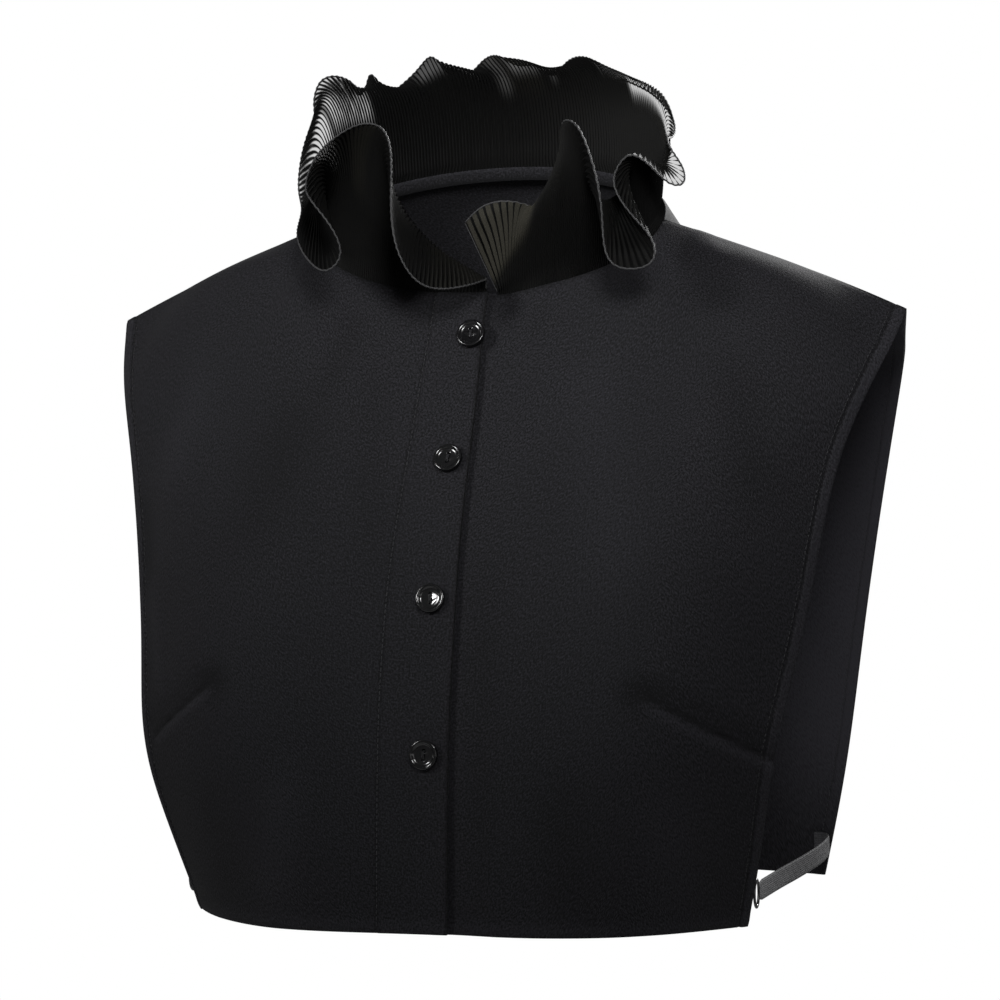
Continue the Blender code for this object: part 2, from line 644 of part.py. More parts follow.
def make_ring(name, side, material):
    """A thin oval wire ring that stands upright behind the front's side edge, near the hem."""
    grid, normals = front_grid(side)
    edge = grid[:, -1]
    order = np.argsort(edge[:, 2])
    centre = np.array([np.interp(RING_UP, edge[order, 2], edge[order, axis]) for axis in range(3)])
    centre[1] += RING_WIDTH / 2 + RING_WIRE / 2 + CLOTH / 2
    around, section = 24, 8
    vertices = []
    faces = []
    for step in range(around):
        angle = 2 * np.pi * step / around
        middle = np.array([0, RING_WIDTH / 2 * np.cos(angle), RING_HEIGHT / 2 * np.sin(angle)])
        outward = unit(np.array([0, np.cos(angle) / RING_WIDTH, np.sin(angle) / RING_HEIGHT]))
        here, after = step * section, (step + 1) % around * section
        for turn in range(section):
            lean = 2 * np.pi * turn / section
            offset = outward * np.cos(lean) + np.array([1.0, 0, 0]) * np.sin(lean)
            vertices.append(centre + middle + offset * RING_WIRE / 2)
            beside = (turn + 1) % section
            faces.append((here + turn, here + beside, after + beside, after + turn))
    new_object(name, vertices, faces, material)


def main():
    for old in list(bpy.data.objects):
        bpy.data.objects.remove(old, do_unlink=True)
    crepe = new_material("black_crepe", (0.012, 0.012, 0.014), 0.85)
    organza = new_material("pleated_organza", (0.02, 0.02, 0.022), 0.6)
    band = new_material("black_bias_band", (0.014, 0.014, 0.016), 0.75)
    gloss = new_material("glossy_black", (0.01, 0.01, 0.011), 0.12)
    elastic = new_material("grey_elastic", (0.03, 0.03, 0.033), 0.7)
    wire = new_material("black_wire", (0.02, 0.02, 0.02), 0.35)
    make_front("right_front", -1, crepe)
    make_front("left_front", 1, crepe)
    grid, normals = back_grid()
    wall("back", grid + normals * CLOTH / 2, grid - normals * CLOTH / 2, crepe)
    make_neckband(band)
    make_ruffle(organza)
    for number, place in enumerate(BUTTON_PLACES, 1):
        make_button("button_%d" % number, place, gloss)
    for name, side in (("left", 1), ("right", -1)):
        make_strap("strap_" + name, side, elastic)
        make_ring("ring_" + name, side, wire)


main()
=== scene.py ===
# Black detachable collar: a stand-up ruffle of pleated organza on a sleeveless half bodice.
# The tables are in millimetres and degrees, the meshes in metres. +Z is up, the front faces -Y.
import math
from collections import namedtuple

import bpy
import numpy as np
from mathutils import Matrix, Vector


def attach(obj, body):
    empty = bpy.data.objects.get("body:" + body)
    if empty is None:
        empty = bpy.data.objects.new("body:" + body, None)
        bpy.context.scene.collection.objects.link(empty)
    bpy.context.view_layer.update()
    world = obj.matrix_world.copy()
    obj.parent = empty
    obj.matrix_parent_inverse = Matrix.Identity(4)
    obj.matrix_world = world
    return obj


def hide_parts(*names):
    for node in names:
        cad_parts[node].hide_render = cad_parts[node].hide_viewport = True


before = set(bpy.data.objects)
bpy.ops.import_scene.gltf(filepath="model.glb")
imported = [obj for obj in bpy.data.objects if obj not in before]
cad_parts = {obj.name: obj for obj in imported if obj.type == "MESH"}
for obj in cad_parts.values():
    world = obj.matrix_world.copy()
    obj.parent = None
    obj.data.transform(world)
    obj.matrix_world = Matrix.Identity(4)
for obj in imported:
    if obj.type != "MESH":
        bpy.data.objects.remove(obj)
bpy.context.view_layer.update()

mm = 0.001
Level = namedtuple("Level", "midUp midAhead swell edgeOut edgeAhead edgeUp")
Ridge = namedtuple("Ridge", "height at width")


def linked(name, data):
    made = bpy.data.objects.new(name, data)
    bpy.context.scene.collection.objects.link(made)
    return made


# Camera

cameraValues = dict(
    azimuth=17.0, elevation=3.0, roll=-0.94, distance=1.685,
    target=(-0.0009, 0.012, -0.1242),
    lens=134.5, sensor=36, clipStart=0.05,
)


def makeCamera():
    c = cameraValues
    turn, lift, roll = (math.radians(c[k]) for k in ("azimuth", "elevation", "roll"))
    right = Vector((math.cos(turn), math.sin(turn), 0))
    back = Vector((math.sin(turn) * math.cos(lift), -math.cos(turn) * math.cos(lift), math.sin(lift)))
    up = back.cross(right)
    right, up = right * math.cos(roll) + up * math.sin(roll), up * math.cos(roll) - right * math.sin(roll)
    place = Vector(c["target"]) + back * c["distance"]
    camera = linked("camera", bpy.data.cameras.new("camera"))
    camera.data.lens = c["lens"]
    camera.data.sensor_width = c["sensor"]
    camera.data.clip_start = c["clipStart"]
    camera.matrix_world = Matrix.Translation(place) @ Matrix((right, up, back)).transposed().to_4x4()
    bpy.context.scene.camera = camera


makeCamera()
print("camera placed")


# Shader nodes

class Wire:
    # a node's output; arithmetic on it adds Math nodes
    def __init__(self, look, socket):
        self.look = look
        self.socket = socket

    def math(self, operation, *others):
        return self.look.add("ShaderNodeMath", {"operation": operation}, dict(enumerate((self,) + others)))

    def __add__(self, other):
        return self.math("ADD", other)

    def __sub__(self, other):
        return self.math("SUBTRACT", other)

    def __rsub__(self, other):
        return self.look.add("ShaderNodeMath", {"operation": "SUBTRACT"}, {0: other, 1: self})

    def __mul__(self, other):
        return self.math("MULTIPLY", other)

    def __truediv__(self, other):
        return self.math("DIVIDE", other)

    __radd__ = __add__
    __rmul__ = __mul__


class Look:
    # a material, made from its shader's fixed values and then its wires
    def __init__(self, name, colour, fixed):
        self.material = bpy.data.materials.new(name)
        self.material.use_nodes = True
        self.tree = self.material.node_tree
        self.shader = self.tree.nodes["Principled BSDF"]
        self.set("Base Color", (*colour, 1))
        for socket, value in fixed.items():
            self.set(socket, value)

    def add(self, kind, settings, sockets, output=0):
        node = self.tree.nodes.new(kind)
        for key, value in settings.items():
            if key == "stops":
                while len(node.color_ramp.elements) < len(value):
                    node.color_ramp.elements.new(1)
                for element, (place, shade) in zip(node.color_ramp.elements, value):
                    element.position = place
                    element.color = (shade, shade, shade, 1)
            else:
                setattr(node, key, value)
        for key, value in sockets.items():
            self.feed(node.inputs[key], value)
        return Wire(self, node.outputs[output])

    def feed(self, socket, value):
        if isinstance(value, Wire):
            self.tree.links.new(value.socket, socket)
        else:
            socket.default_value = value

    def set(self, name, value):
        self.feed(self.shader.inputs[name], value)

    def uv(self):
        return self.add("ShaderNodeUVMap", {"uv_map": "cloth"}, {})

    def place(self):
        return self.add("ShaderNodeTexCoord", {}, {}, "Object")

    def axis(self, vector, name):
        return self.add("ShaderNodeSeparateXYZ", {}, {0: vector}, name)

    def noise(self, vector, scale, detail=2.0, roughness=0.5):
        return self.add("ShaderNodeTexNoise", {}, {
            "Vector": vector, "Scale": scale, "Detail": detail, "Roughness": roughness}, "Fac")

    def stretched(self, vector, scales):
        return self.add("ShaderNodeMapping", {}, {"Vector": vector, "Scale": scales})

    def attribute(self, name):
        return self.add("ShaderNodeAttribute", {"attribute_name": name}, {}, "Fac")

    def ramp(self, value, stops):
        return self.add("ShaderNodeValToRGB", {"stops": stops}, {0: value})

    def mix(self, share, first, second):
        return self.add("ShaderNodeMix", {"data_type": "RGBA"}, {
            0: share, 6: (*first, 1) if isinstance(first, tuple) else first,
            7: (*second, 1) if isinstance(second, tuple) else second}, 2)

    def bump(self, height, distance, strength=1.0):
        self.set("Normal", self.add("ShaderNodeBump", {}, {
            "Height": height, "Distance": distance, "Strength": strength}))


# Materials

# the light end of the colour is reached both by light flecks of the grain and by painted light on ridges
crepeValues = dict(
    colour=(0.0048, 0.0048, 0.0056), lintAndLitRidge=(0.0125, 0.0122, 0.0146),
    fixed={"Specular IOR Level": 0.08, "Sheen Weight": 0.012, "Sheen Roughness": 0.5},
    darkest=0.55, lightest=1.5,
    grainSize=0.0009, grainDepth=0.0003,
    yarn=(1.0, 0.45, 1.0), yarnScale=1.6, cloudScale=14.0,
    fleck=[(0.36, 0.0), (0.72, 1.0)],
    fleckGain=2.0, cloudGain=0.3, reliefShadeGain=0.5, offset=0.75, low=0.35, high=1.6,
    roughness=0.86, fleckShine=0.12,
)


def crepeLook(name, shade=1.0):
    c = crepeValues
    dark = tuple(v * shade for v in c["colour"])
    look = Look(name, dark, c["fixed"])
    cloth = look.uv()
    grain = look.noise(cloth, 1 / c["grainSize"], 3.0, 0.6)
    weave = look.noise(look.stretched(cloth, c["yarn"]), c["yarnScale"] / c["grainSize"], 1.0)
    cloud = look.noise(cloth, c["cloudScale"], 2.0)
    fleck = look.ramp(grain * 0.7 + weave * 0.3, c["fleck"])
    light = fleck * c["fleckGain"] + (cloud - 0.5) * c["cloudGain"]
    # painted light and shade: the attribute read here makes ridges lighter and grooves, creases and darts
    # darker
    light = light + look.attribute("relief") * c["reliefShadeGain"] - c["offset"]
    light = light.math("MAXIMUM", -c["low"]).math("MINIMUM", c["high"]) + c["low"]
    ends = [tuple(v * c["darkest"] for v in dark), tuple(v * shade * c["lightest"] for v in c["lintAndLitRidge"])]
    look.set("Base Color", look.mix(light / (c["low"] + c["high"]), *ends))
    look.set("Roughness", c["roughness"] - fleck * c["fleckShine"])
    look.bump(grain * 0.6 + weave * 0.4, c["grainDepth"])
    return look.material


organzaValues = dict(
    colour=(0.0013, 0.0013, 0.0013),
    sheer=(0.0105, 0.0104, 0.0098),
    pale=(0.036, 0.034, 0.026),
    fixed={"Specular IOR Level": 0.035, "Sheen Weight": 0.003, "Sheen Roughness": 0.35},
    sheerAlpha=0.2, denseAlpha=1.0, foldAlpha=1.0, denseShare=0.8,
    fold=[(0.0, 0.0), (0.24, 0.0), (0.4, 1.0), (0.5, 1.0)],
    foldLeast=0.55, foldSpread=0.9,
    drift=(0.9, 5.0, 1.0), wander=0.25,
    threads=(3.0, 260.0, 1.0), threadAlpha=0.12,
    roughness=0.5, threadRoughness=0.2,
    depth=0.0002, bump=0.6,
)


def organzaLook():
    # u counts pleats round the neck and v climbs from the seam (0) to the free edge (1)
    c = organzaValues
    look = Look("pleatedOrganza", c["colour"], c["fixed"])
    cloth = look.uv()
    uneven = look.noise(look.stretched(cloth, c["drift"]), 1.0, 2.0)
    pleat = (look.axis(cloth, "X") + (uneven - 0.5) * c["wander"]).math("FRACT")
    fold = look.ramp((pleat - 0.5).math("ABSOLUTE"), c["fold"])
    weave = look.noise(look.stretched(cloth, c["threads"]), 1.0, 2.0)
    line = fold * (c["foldLeast"] + uneven * c["foldSpread"])
    sheer = look.attribute("sheer")
    thin = c["denseAlpha"] + (c["sheerAlpha"] - c["denseAlpha"]) * sheer
    alpha = thin + line * (c["foldAlpha"] - thin) + (weave - 0.5) * c["threadAlpha"] * sheer
    look.set("Alpha", alpha.math("MINIMUM", 1.0))
    # painted light: the warmer, lighter colours between the folds stand for light through single layers and
    # for lit patches
    between = look.mix(look.attribute("pale"), c["sheer"], c["pale"])
    # in dense parts a share of that lighter colour still shows between the folds, a painted highlight on the
    # pleat ridges
    cover = (line + (1 - sheer) * c["denseShare"]).math("MINIMUM", 1.0)
    look.set("Base Color", look.mix(cover, between, c["colour"]))
    look.set("Roughness", c["roughness"] + weave * c["threadRoughness"])
    look.bump(weave - fold, c["depth"], c["bump"])
    look.material.surface_render_method = "DITHERED"
    return look.material


threadValues = dict(
    fixed={"Specular IOR Level": 0.2, "Sheen Weight": 0.02},
    scale=2600.0, detail=2.0, spread=0.2, depth=0.0002,
)


glossValues = dict(
    colour=(0.003, 0.003, 0.0032),
    dark=(0.0025, 0.0025, 0.0027), light=(0.004, 0.004, 0.0043),
    fixed={"Specular IOR Level": 0.4},
    scale=420.0, pits=2400.0, detail=3.0,
    roughness=0.1, spread=0.08, depth=0.00001,
)


wireValues = dict(
    colour=(0.008, 0.008, 0.009),
    dark=(0.007, 0.007, 0.008), light=(0.02, 0.02, 0.021),
    fixed={"Specular IOR Level": 0.5},
    scale=900.0, wear=[(0.55, 0.0), (0.75, 1.0)], detail=3.0,
    roughness=0.2, spread=0.25, depth=0.00004,
)


def fleckedLook(
        name, colour, dark, light, fixed, scale, detail, roughness, spread, depth, wear=None, pits=None):
    # noise between two colours, which shows in the roughness and the bump too
    look = Look(name, colour, fixed)
    place = look.place()
    fleck = look.noise(place, scale, detail)
    look.set("Base Color", look.mix(look.ramp(fleck, wear) if wear else fleck, dark, light))
    look.set("Roughness", roughness + fleck * spread)
    look.bump(fleck * 0.8 + look.noise(place, pits, 1.0) * 0.2 if pits else fleck, depth)
    return look.material


elasticValues = dict(
    colour=(0.02, 0.02, 0.022),
    dark=(0.008, 0.008, 0.009), light=(0.026, 0.026, 0.029),
    rib=0.0009, pick=0.0008, fuzzScale=2200.0,
    roughness=0.75, fuzzRoughness=0.15, depth=0.00018,
)


def elasticLook():
    # u runs along the strap and v across it, both in metres
    c = elasticValues
    look = Look("greyElastic", c["colour"], {"Specular IOR Level": 0.2, "Sheen Weight": 0.05})
    cloth = look.uv()
    ribs = (look.axis(cloth, "Y") * (2 * math.pi / c["rib"])).math("SINE")
    picks = (look.axis(cloth, "X") * (2 * math.pi / c["pick"])).math("SINE")
    fuzz = look.noise(cloth, c["fuzzScale"], 2.0)
    knit = ribs * 0.3 + picks * 0.2 + fuzz * 0.5
    look.set("Base Color", look.mix((knit + 0.3).math("MAXIMUM", 0.0), c["dark"], c["light"]))
    look.set("Roughness", c["roughness"] - fuzz * c["fuzzRoughness"])
    look.bump(knit, c["depth"])
    return look.material


looks = dict(
    crepe=crepeLook("blackCrepe"),
    # the band is a darker copy of the crepe: painted shade inside the neck
    band=crepeLook("biasBand", 0.8),
    organza=organzaLook(),
    edge=fleckedLook(
        "rolledEdgeThread", (0.016, 0.016, 0.0165), (0.0096, 0.0096, 0.0099), (0.024, 0.024, 0.02475),
        roughness=0.5, **threadValues),
    thread=fleckedLook(
        "sewingThread", (0.008, 0.008, 0.009), (0.0048, 0.0048, 0.0054), (0.012, 0.012, 0.0135),
        roughness=0.6, **threadValues),
    gloss=fleckedLook("glossyBlack", **glossValues),
    elastic=elasticLook(),
    wire=fleckedLook("coatedWire", **wireValues),
)
print("materials made")


# Curves and grids

def spline(knots, values, at):
    # a natural cubic spline through rows of values
    count = len(knots)
    step = np.diff(knots)
    slope = np.diff(values, axis=0) / step[:, None]
    system = np.eye(count)
    right = np.zeros(values.shape)
    for i in range(1, count - 1):
        system[i, i - 1] = step[i - 1]
        system[i, i] = 2 * (step[i - 1] + step[i])
        system[i, i + 1] = step[i]
        right[i] = 6 * (slope[i] - slope[i - 1])
    bend = np.linalg.solve(system, right)
    place = np.clip(np.searchsorted(knots, at) - 1, 0, count - 2)
    width = step[place][:, None]
    near = (at - knots[place])[:, None]
    far = width - near
    curve = bend[place] * (far ** 3 / width - far * width)
    curve += bend[place + 1] * (near ** 3 / width - near * width)
    return (values[place] * far + values[place + 1] * near) / width + curve / 6


def smoothStep(low, high, value):
    share = np.clip((value - low) / (high - low), 0, 1)
    return share * share * (3 - 2 * share)


def hump(value, width):
    return np.exp(-(value / width) ** 2)


def between(value, rise, fall):
    # 0, then 1 after the stretch it rises over, and 0 again after the one it falls over
    return smoothStep(*rise, value) * (1 - smoothStep(*fall, value))


def ridged(distance, *ridges):
    # ridges (height above 0) and grooves (below 0) at their distances from an edge
    return sum(ridge.height * hump(distance - ridge.at, ridge.width) for ridge in ridges)


def sizes(vectors):
    return np.linalg.norm(vectors, axis=-1)


def unit(vectors):
    return vectors / np.maximum(sizes(vectors), 1e-9)[..., None]


def runningLength(line):
    return np.concatenate([[0], np.cumsum(sizes(np.diff(line, axis=0)))])


def readAt(at, places, points):
    # the points of a line at new places
    return np.stack([np.interp(at, places, points[:, k]) for k in range(3)], -1)


def crossed(across, down):
    # a grid of pairs, from values that run across and values that run down
    return np.stack(np.broadcast_arrays(across[None], down[:, None]), -1)


def evened(line, reach):
    # a row of points averaged with its neighbours, its two ends kept
    reach = max(1, int(reach))
    window = np.hanning(2 * reach + 1)
    window /= window.sum()
    before = 2 * line[0] - line[reach - 1:0:-1]
    after = 2 * line[-1] - line[-2:-reach - 1:-1]
    padded = np.concatenate([before, line, after])
    return np.stack([np.convolve(padded[:, k], window[1:-1], "valid") for k in range(padded.shape[1])], -1)


def surfaceNormals(grid, inside):
    normals = unit(np.cross(np.gradient(grid, axis=0), np.gradient(grid, axis=1)))
    away = np.sum(normals * (grid - inside), axis=-1)
    return normals if away.sum() > 0 else -normals


def refined(grid, rowsAt, columnsAt):
    # the same surface through more rows and columns, given as places between the old ones
    rows, columns = grid.shape[:2]
    longer = spline(np.arange(rows), grid.reshape(rows, -1), rowsAt).reshape(len(rowsAt), columns, 3)
    turned = longer.transpose(1, 0, 2).reshape(columns, -1)
    wider = spline(np.arange(columns), turned, columnsAt).reshape(len(columnsAt), len(rowsAt), 3)
    return wider.transpose(1, 0, 2)


# Pieces

shellSharp = 50
tubeSide = (0.31, 0.17, 0.93)


def makePiece(name, points, faces, look, uv=None, sharp=None, spread=None):
    mesh = bpy.data.meshes.new(name)
    mesh.from_pydata((np.asarray(points) * mm).tolist(), [], faces)
    if uv is not None:
        layer = mesh.uv_layers.new(name="cloth")
        corners = np.empty(len(mesh.loops), dtype=np.int32)
        mesh.loops.foreach_get("vertex_index", corners)
        layer.data.foreach_set("uv", np.asarray(uv, float)[corners].ravel())
    for key, values in (spread or {}).items():
        data = mesh.attributes.new(key, "FLOAT", "POINT").data
        data.foreach_set("value", np.ravel(values).astype(np.float32))
    mesh.shade_smooth()
    if sharp is not None:
        mesh.set_sharp_from_angle(angle=math.radians(sharp))
    mesh.materials.append(look)
    piece = linked(name, mesh)
    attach(piece, "root")
    return piece


def makeShell(name, outer, inner, look, slot, uv, spread=None, paintedInnerLight=0):
    # a thin closed shell between two grids of points; the last argument, painted light, is added to the
    # attributes of its inner face
    rows, columns = outer.shape[:2]
    under = rows * columns
    middle = (rows // 2, columns // 2)
    across = outer[middle[0], middle[1] + 1] - outer[middle]
    down = outer[middle[0] + 1, middle[1]] - outer[middle]
    flip = np.dot(np.cross(across, down), outer[middle] - inner[middle]) < 0
    corner = np.arange(under).reshape(rows, columns)
    corners = (corner[:-1, :-1], corner[:-1, 1:], corner[1:, 1:], corner[1:, :-1])
    outside = np.stack([part.ravel() for part in corners], -1)
    inside = outside[:, ::-1] + under
    rim = np.concatenate([corner[0, :], corner[1:, -1], corner[-1, -2::-1], corner[-2:0:-1, 0]])
    after = np.roll(rim, -1)
    edge = np.stack([after, rim, rim + under, after + under], -1)
    faces = np.concatenate([outside, inside, edge])
    if flip:
        faces = faces[:, ::-1]
    points = np.concatenate([outer.reshape(-1, 3), inner.reshape(-1, 3)])
    both = {}
    for key, value in (spread or {}).items():
        both[key] = np.concatenate([np.ravel(value), np.ravel(value) + paintedInnerLight])
    uvs = np.concatenate([uv.reshape(-1, 2)] * 2)
    return makePiece(name, points, faces.tolist(), look, uvs, shellSharp, both)


def ringFaces(first, rings, sides):
    # quads between rings of points that follow each other, with both ends closed
    faces = []
    last = first + (rings - 1) * sides
    for ring in range(first, last, sides):
        for side in range(sides):
            a, b = ring + side, ring + (side + 1) % sides
            faces.append((a, b, b + sides, a + sides))
    return faces + [tuple(range(first, first + sides))[::-1], tuple(range(last, last + sides))]


def makeTube(name, line, radius, sides, look):
    # a round cord along a line of points, its ends closed
    run = unit(np.gradient(line, axis=0))
    lift = unit(np.cross(run, tubeSide))
    high = np.cross(run, lift)
    turn = 2 * np.pi * np.arange(sides)[:, None] / sides
    rings = line[:, None] + radius * (np.cos(turn) * lift[:, None] + np.sin(turn) * high[:, None])
    return makePiece(name, rings.reshape(-1, 3), ringFaces(0, len(line), sides), look)


# Neck, shoulders and panels, with the sizes of the cut

neck = dict(half=80.5, mean=43.0, shift=9.0, rise=28.5, dip=2.5)
shoulder = dict(tipOut=180.0, tipBack=12.0, tipDrop=41.0, bow=0.15)
# on the wearer's left the back swings out from the cut and comes in a little at the hem, and the
# front swings only at the shoulder; the wearer's right flares below the bust
hang = dict(
    leftSwing=5.5, rightFlare=(4.5, -150.0, -255.0),
    back=(3.0, -235.0, -300.0), front=(6.5, -42.0, -100.0),
    reach=(0.42, 0.95),
)
cloth = dict(
    thick=1.0, seamGap=0.1, seamReach=0.1,
    lapAtNeck=9.0, lapBelow=12.0, stitchAtNeck=14.0, stitchAtHem=18.5,
    underlap=12.0, underlapSink=3.0, underlapFade=38.0,
    topRidge=Ridge(-0.5, 0, 1.6),
)
sideHem = dict(lift=0.35, step=(4.5, 5.5))
insidePoints = dict(halfFront=(60.0, 20.0, -150.0), front=(0.0, 20.0, -150.0), back=(0.0, -20.0, -150.0))

frontLevels = [
    Level(-62, 50, 3, 174.5, 6, -64),
    Level(-100, 69, 8, 165.5, 22, -98),
    Level(-145, 91, 12, 156.5, 37, -144),
    Level(-178, 101, 14, 149.0, 50, -190),
    Level(-207, 108, 12, 141.5, 60, -229),
    Level(-248, 113, 8, 134.0, 52, -265),
    Level(-300, 117, 4, 124.0, 40, -305),
]
backLevels = [
    Level(-40, 81, 2, 171.0, 52, -63),
    Level(-90, 95, 4, 161.5, 71, -98),
    Level(-145, 101, 4, 152.5, 77, -145),
    Level(-195, 103, 2, 144.5, 80, -195),
    Level(-250, 104, 1, 136.5, 82, -250),
    Level(-302, 104, 0, 127.5, 88, -302),
]
# how a level bends from its middle to its edge, as powers of the share of its width
curving = dict(fall=2.8, swellPlace=1.4, swellPower=1.5, climb=2.4)
belowTop = dict(
    offNeck=(38, 92), nearTip=130,
    frontNeck=(0, 8, -14), backNeck=(0, 8, -11),
    shoulder=(0, 13, -3), tip=(-2, 7, -9),
    cornerTo=120, frontCorner=5,
)
# the shares of a panel's width at its columns: the first steps along the neck, the rest along the shoulder
neckShare = 0.6
neckSteps = 8
panelShares = [*np.linspace(0, neckShare, neckSteps + 1), *np.linspace(neckShare, 1, 7)[1:]]
rowGather = 0.35
cornerRows = 4.0
creaseFade = dict(rise=(-0.15, 0.3), fall=(0.7, 1.15))


def neckPoint(turn):
    angle = np.radians(np.asarray(turn, float))
    ahead = np.cos(angle)
    return np.stack([
        -neck["half"] * np.sin(angle),
        -neck["mean"] * ahead + neck["shift"] * ahead ** 2,
        -neck["rise"] * ahead - neck["dip"] * ahead ** 2,
    ], -1)


def outOfNeck(turn):
    run = neckPoint(turn + 0.5) - neckPoint(turn - 0.5)
    return unit(np.stack([-run[:, 1], run[:, 0], 0 * turn], -1))


def shoulderPoint(share):
    s = shoulder
    drop = share - s["bow"] * share * (1 - share)
    out = neck["half"] + (s["tipOut"] - neck["half"]) * share
    return np.array([out, s["tipBack"] * share, -s["tipDrop"] * drop])


def levelPoint(level, out, facing):
    c = curving
    share = np.clip(np.abs(out) / level.edgeOut, 0, 1)
    fall = (level.midAhead - level.edgeAhead) * share ** c["fall"]
    swell = level.swell * np.sin(np.pi * share ** c["swellPlace"]) ** c["swellPower"]
    up = level.midUp + (level.edgeUp - level.midUp) * share ** c["climb"]
    return np.stack([out, facing * (level.midAhead - fall + swell), up], -1)


def topEdge(facing, bands):
    def atNeck(out):
        angle = np.degrees(np.arcsin(out / neck["half"]))
        return neckPoint(-angle if facing < 0 else 180 + angle)

    points = [atNeck(top) for top, hem in bands[:-1]]
    first = np.degrees(np.arcsin(bands[-1][0] / neck["half"]))
    for share in panelShares:
        if share <= neckShare:
            angle = first + (90 - first) * share / neckShare
            points.append(atNeck(neck["half"] * np.sin(np.radians(angle))))
        else:
            points.append(shoulderPoint((share - neckShare) / (1 - neckShare)))
    return np.array(points)


def secondRow(top, facing):
    # the row just below the neck and shoulder seams
    b = belowTop
    turned = np.array([1, facing, 1])
    width = np.abs(top[:, :1])
    offNeck = smoothStep(*b["offNeck"], width)
    nearTip = smoothStep(b["nearTip"], shoulder["tipOut"], width)
    belowNeck = turned * (b["frontNeck"] if facing < 0 else b["backNeck"])
    belowShoulder = turned * b["shoulder"] * (1 - nearTip) + turned * b["tip"] * nearTip
    if facing < 0:
        corner = 1 - smoothStep(neck["half"], b["cornerTo"], width)
        belowShoulder = belowShoulder - [0, 0, b["frontCorner"]] * corner
    return top + belowNeck * (1 - offNeck) + belowShoulder * offNeck


def swing(side, facing, up):
    amount, high, low = hang["rightFlare"] if side < 0 else hang["back"] if facing > 0 else hang["front"]
    step = amount * smoothStep(high, low, up)
    return step if side < 0 else hang["leftSwing"] - step


def halfPanel(levels, facing, side, bands, rows):
    neckUp = -neck["rise"] - neck["dip"]
    hemUp = levels[-1].midUp
    top = topEdge(facing, bands)
    lines = [top, secondRow(top, facing)]
    for level in levels:
        down = (level.midUp - neckUp) / (hemUp - neckUp)
        outs = [top + (hem - top) * np.clip(2 * down, 0, 1) for top, hem in bands]
        outs = outs[:-1] + [outs[-1] + (level.edgeOut - outs[-1]) * share for share in panelShares]
        lines.append(levelPoint(level, np.array(outs), facing))
    lines = np.array(lines)
    reach = np.array([shoulder["tipOut"]] * 2 + [level.edgeOut for level in levels])[:, None]
    lines[..., 0] += swing(side, facing, lines[..., 2]) * smoothStep(*hang["reach"], lines[..., 0] / reach)
    grid = np.empty((len(rows), lines.shape[1], 3))
    for column in range(lines.shape[1]):
        knots = runningLength(lines[:, column])
        grid[:, column] = spline(knots / knots[-1], lines[:, column], rows)
    return grid


def panelRows(count):
    # rows closer together at the top
    place = np.linspace(0, 1, count)
    return rowGather * place ** 2 + (1 - rowGather) * place


def refinedPanel(grid, corners, rowsAt, columnsAt):
    # splines round the corners where the neck meets the shoulder only below them
    smooth = refined(grid, rowsAt, columnsAt)
    split = np.empty_like(smooth)
    marks = [0, *corners, grid.shape[1] - 1]
    for start, end in zip(marks[:-1], marks[1:]):
        part = (columnsAt >= start) & (columnsAt <= end)
        split[:, part] = refined(grid[:, start:end + 1], rowsAt, columnsAt[part] - start)
    keep = (1 - smoothStep(0.0, cornerRows, rowsAt))[:, None, None]
    return split * keep + smooth * (1 - keep)


def places(*stretches):
    # (first, last, steps) stretches of places, joined without repeats
    line = [np.linspace(first, last, steps, endpoint=False) for first, last, steps in stretches]
    return np.concatenate(line + [[stretches[-1][1]]])


def distances(grid):
    across = np.pad(np.cumsum(sizes(np.diff(grid, axis=1)), axis=1), ((0, 0), (1, 0)))
    down = np.pad(np.cumsum(sizes(np.diff(grid, axis=0)), axis=0), ((1, 0), (0, 0)))
    return across, across[:, -1:] - across, down, down[-1:] - down


def alongLine(grid, start, end):
    # how far points lie along a line on the front view and beside it, and the line's length
    run = np.subtract(end, start)
    length = np.linalg.norm(run)
    offset = grid[..., [0, 2]] - start
    aside = offset[..., 0] * run[1] - offset[..., 1] * run[0]
    return offset @ run / length, aside / length, length


def creased(grid, creases):
    # soft troughs (depth above 0) and ridges (below 0) drawn on the front view of a panel
    height = np.zeros(grid.shape[:2])
    for *line, depth, width in creases:
        along, aside, length = alongLine(grid, line[:2], line[2:])
        height -= depth * hump(aside, width) * between(along / length, **creaseFade)
    return height


def sinkUnder(out):
    # how far the left front lies behind the right one, where they overlap
    return cloth["underlapSink"] * (1 - smoothStep(cloth["lapBelow"], cloth["underlapFade"], out))


def openSeam(grid, facing):
    # moves the shoulder's edge half a seam's gap away from the other panel
    onShoulder = grid[0, :, 0] > neck["half"] - cloth["seamReach"]
    grid[0, onShoulder, 1] += facing * cloth["seamGap"] / 2


def hemLift(fromSide):
    return sideHem["lift"] * (1 - smoothStep(*sideHem["step"], fromSide))


def panelFaces(grid, normals, height, over, under, inside):
    # a panel's middle moved by its creases, and its outer and inner faces
    middle = grid + normals * height[..., None]
    normals = surfaceNormals(middle, inside)
    return middle + normals * over[..., None], middle - normals * under[..., None], normals


def columnsFrom(distance, reach):
    # for each row, the place among the columns that lies this far from a side
    spots = np.arange(distance.shape[1], dtype=float)
    way = -1 if distance[0, 0] > distance[0, -1] else 1
    return np.array([np.interp(way * reach, way * row, spots) for row in distance])


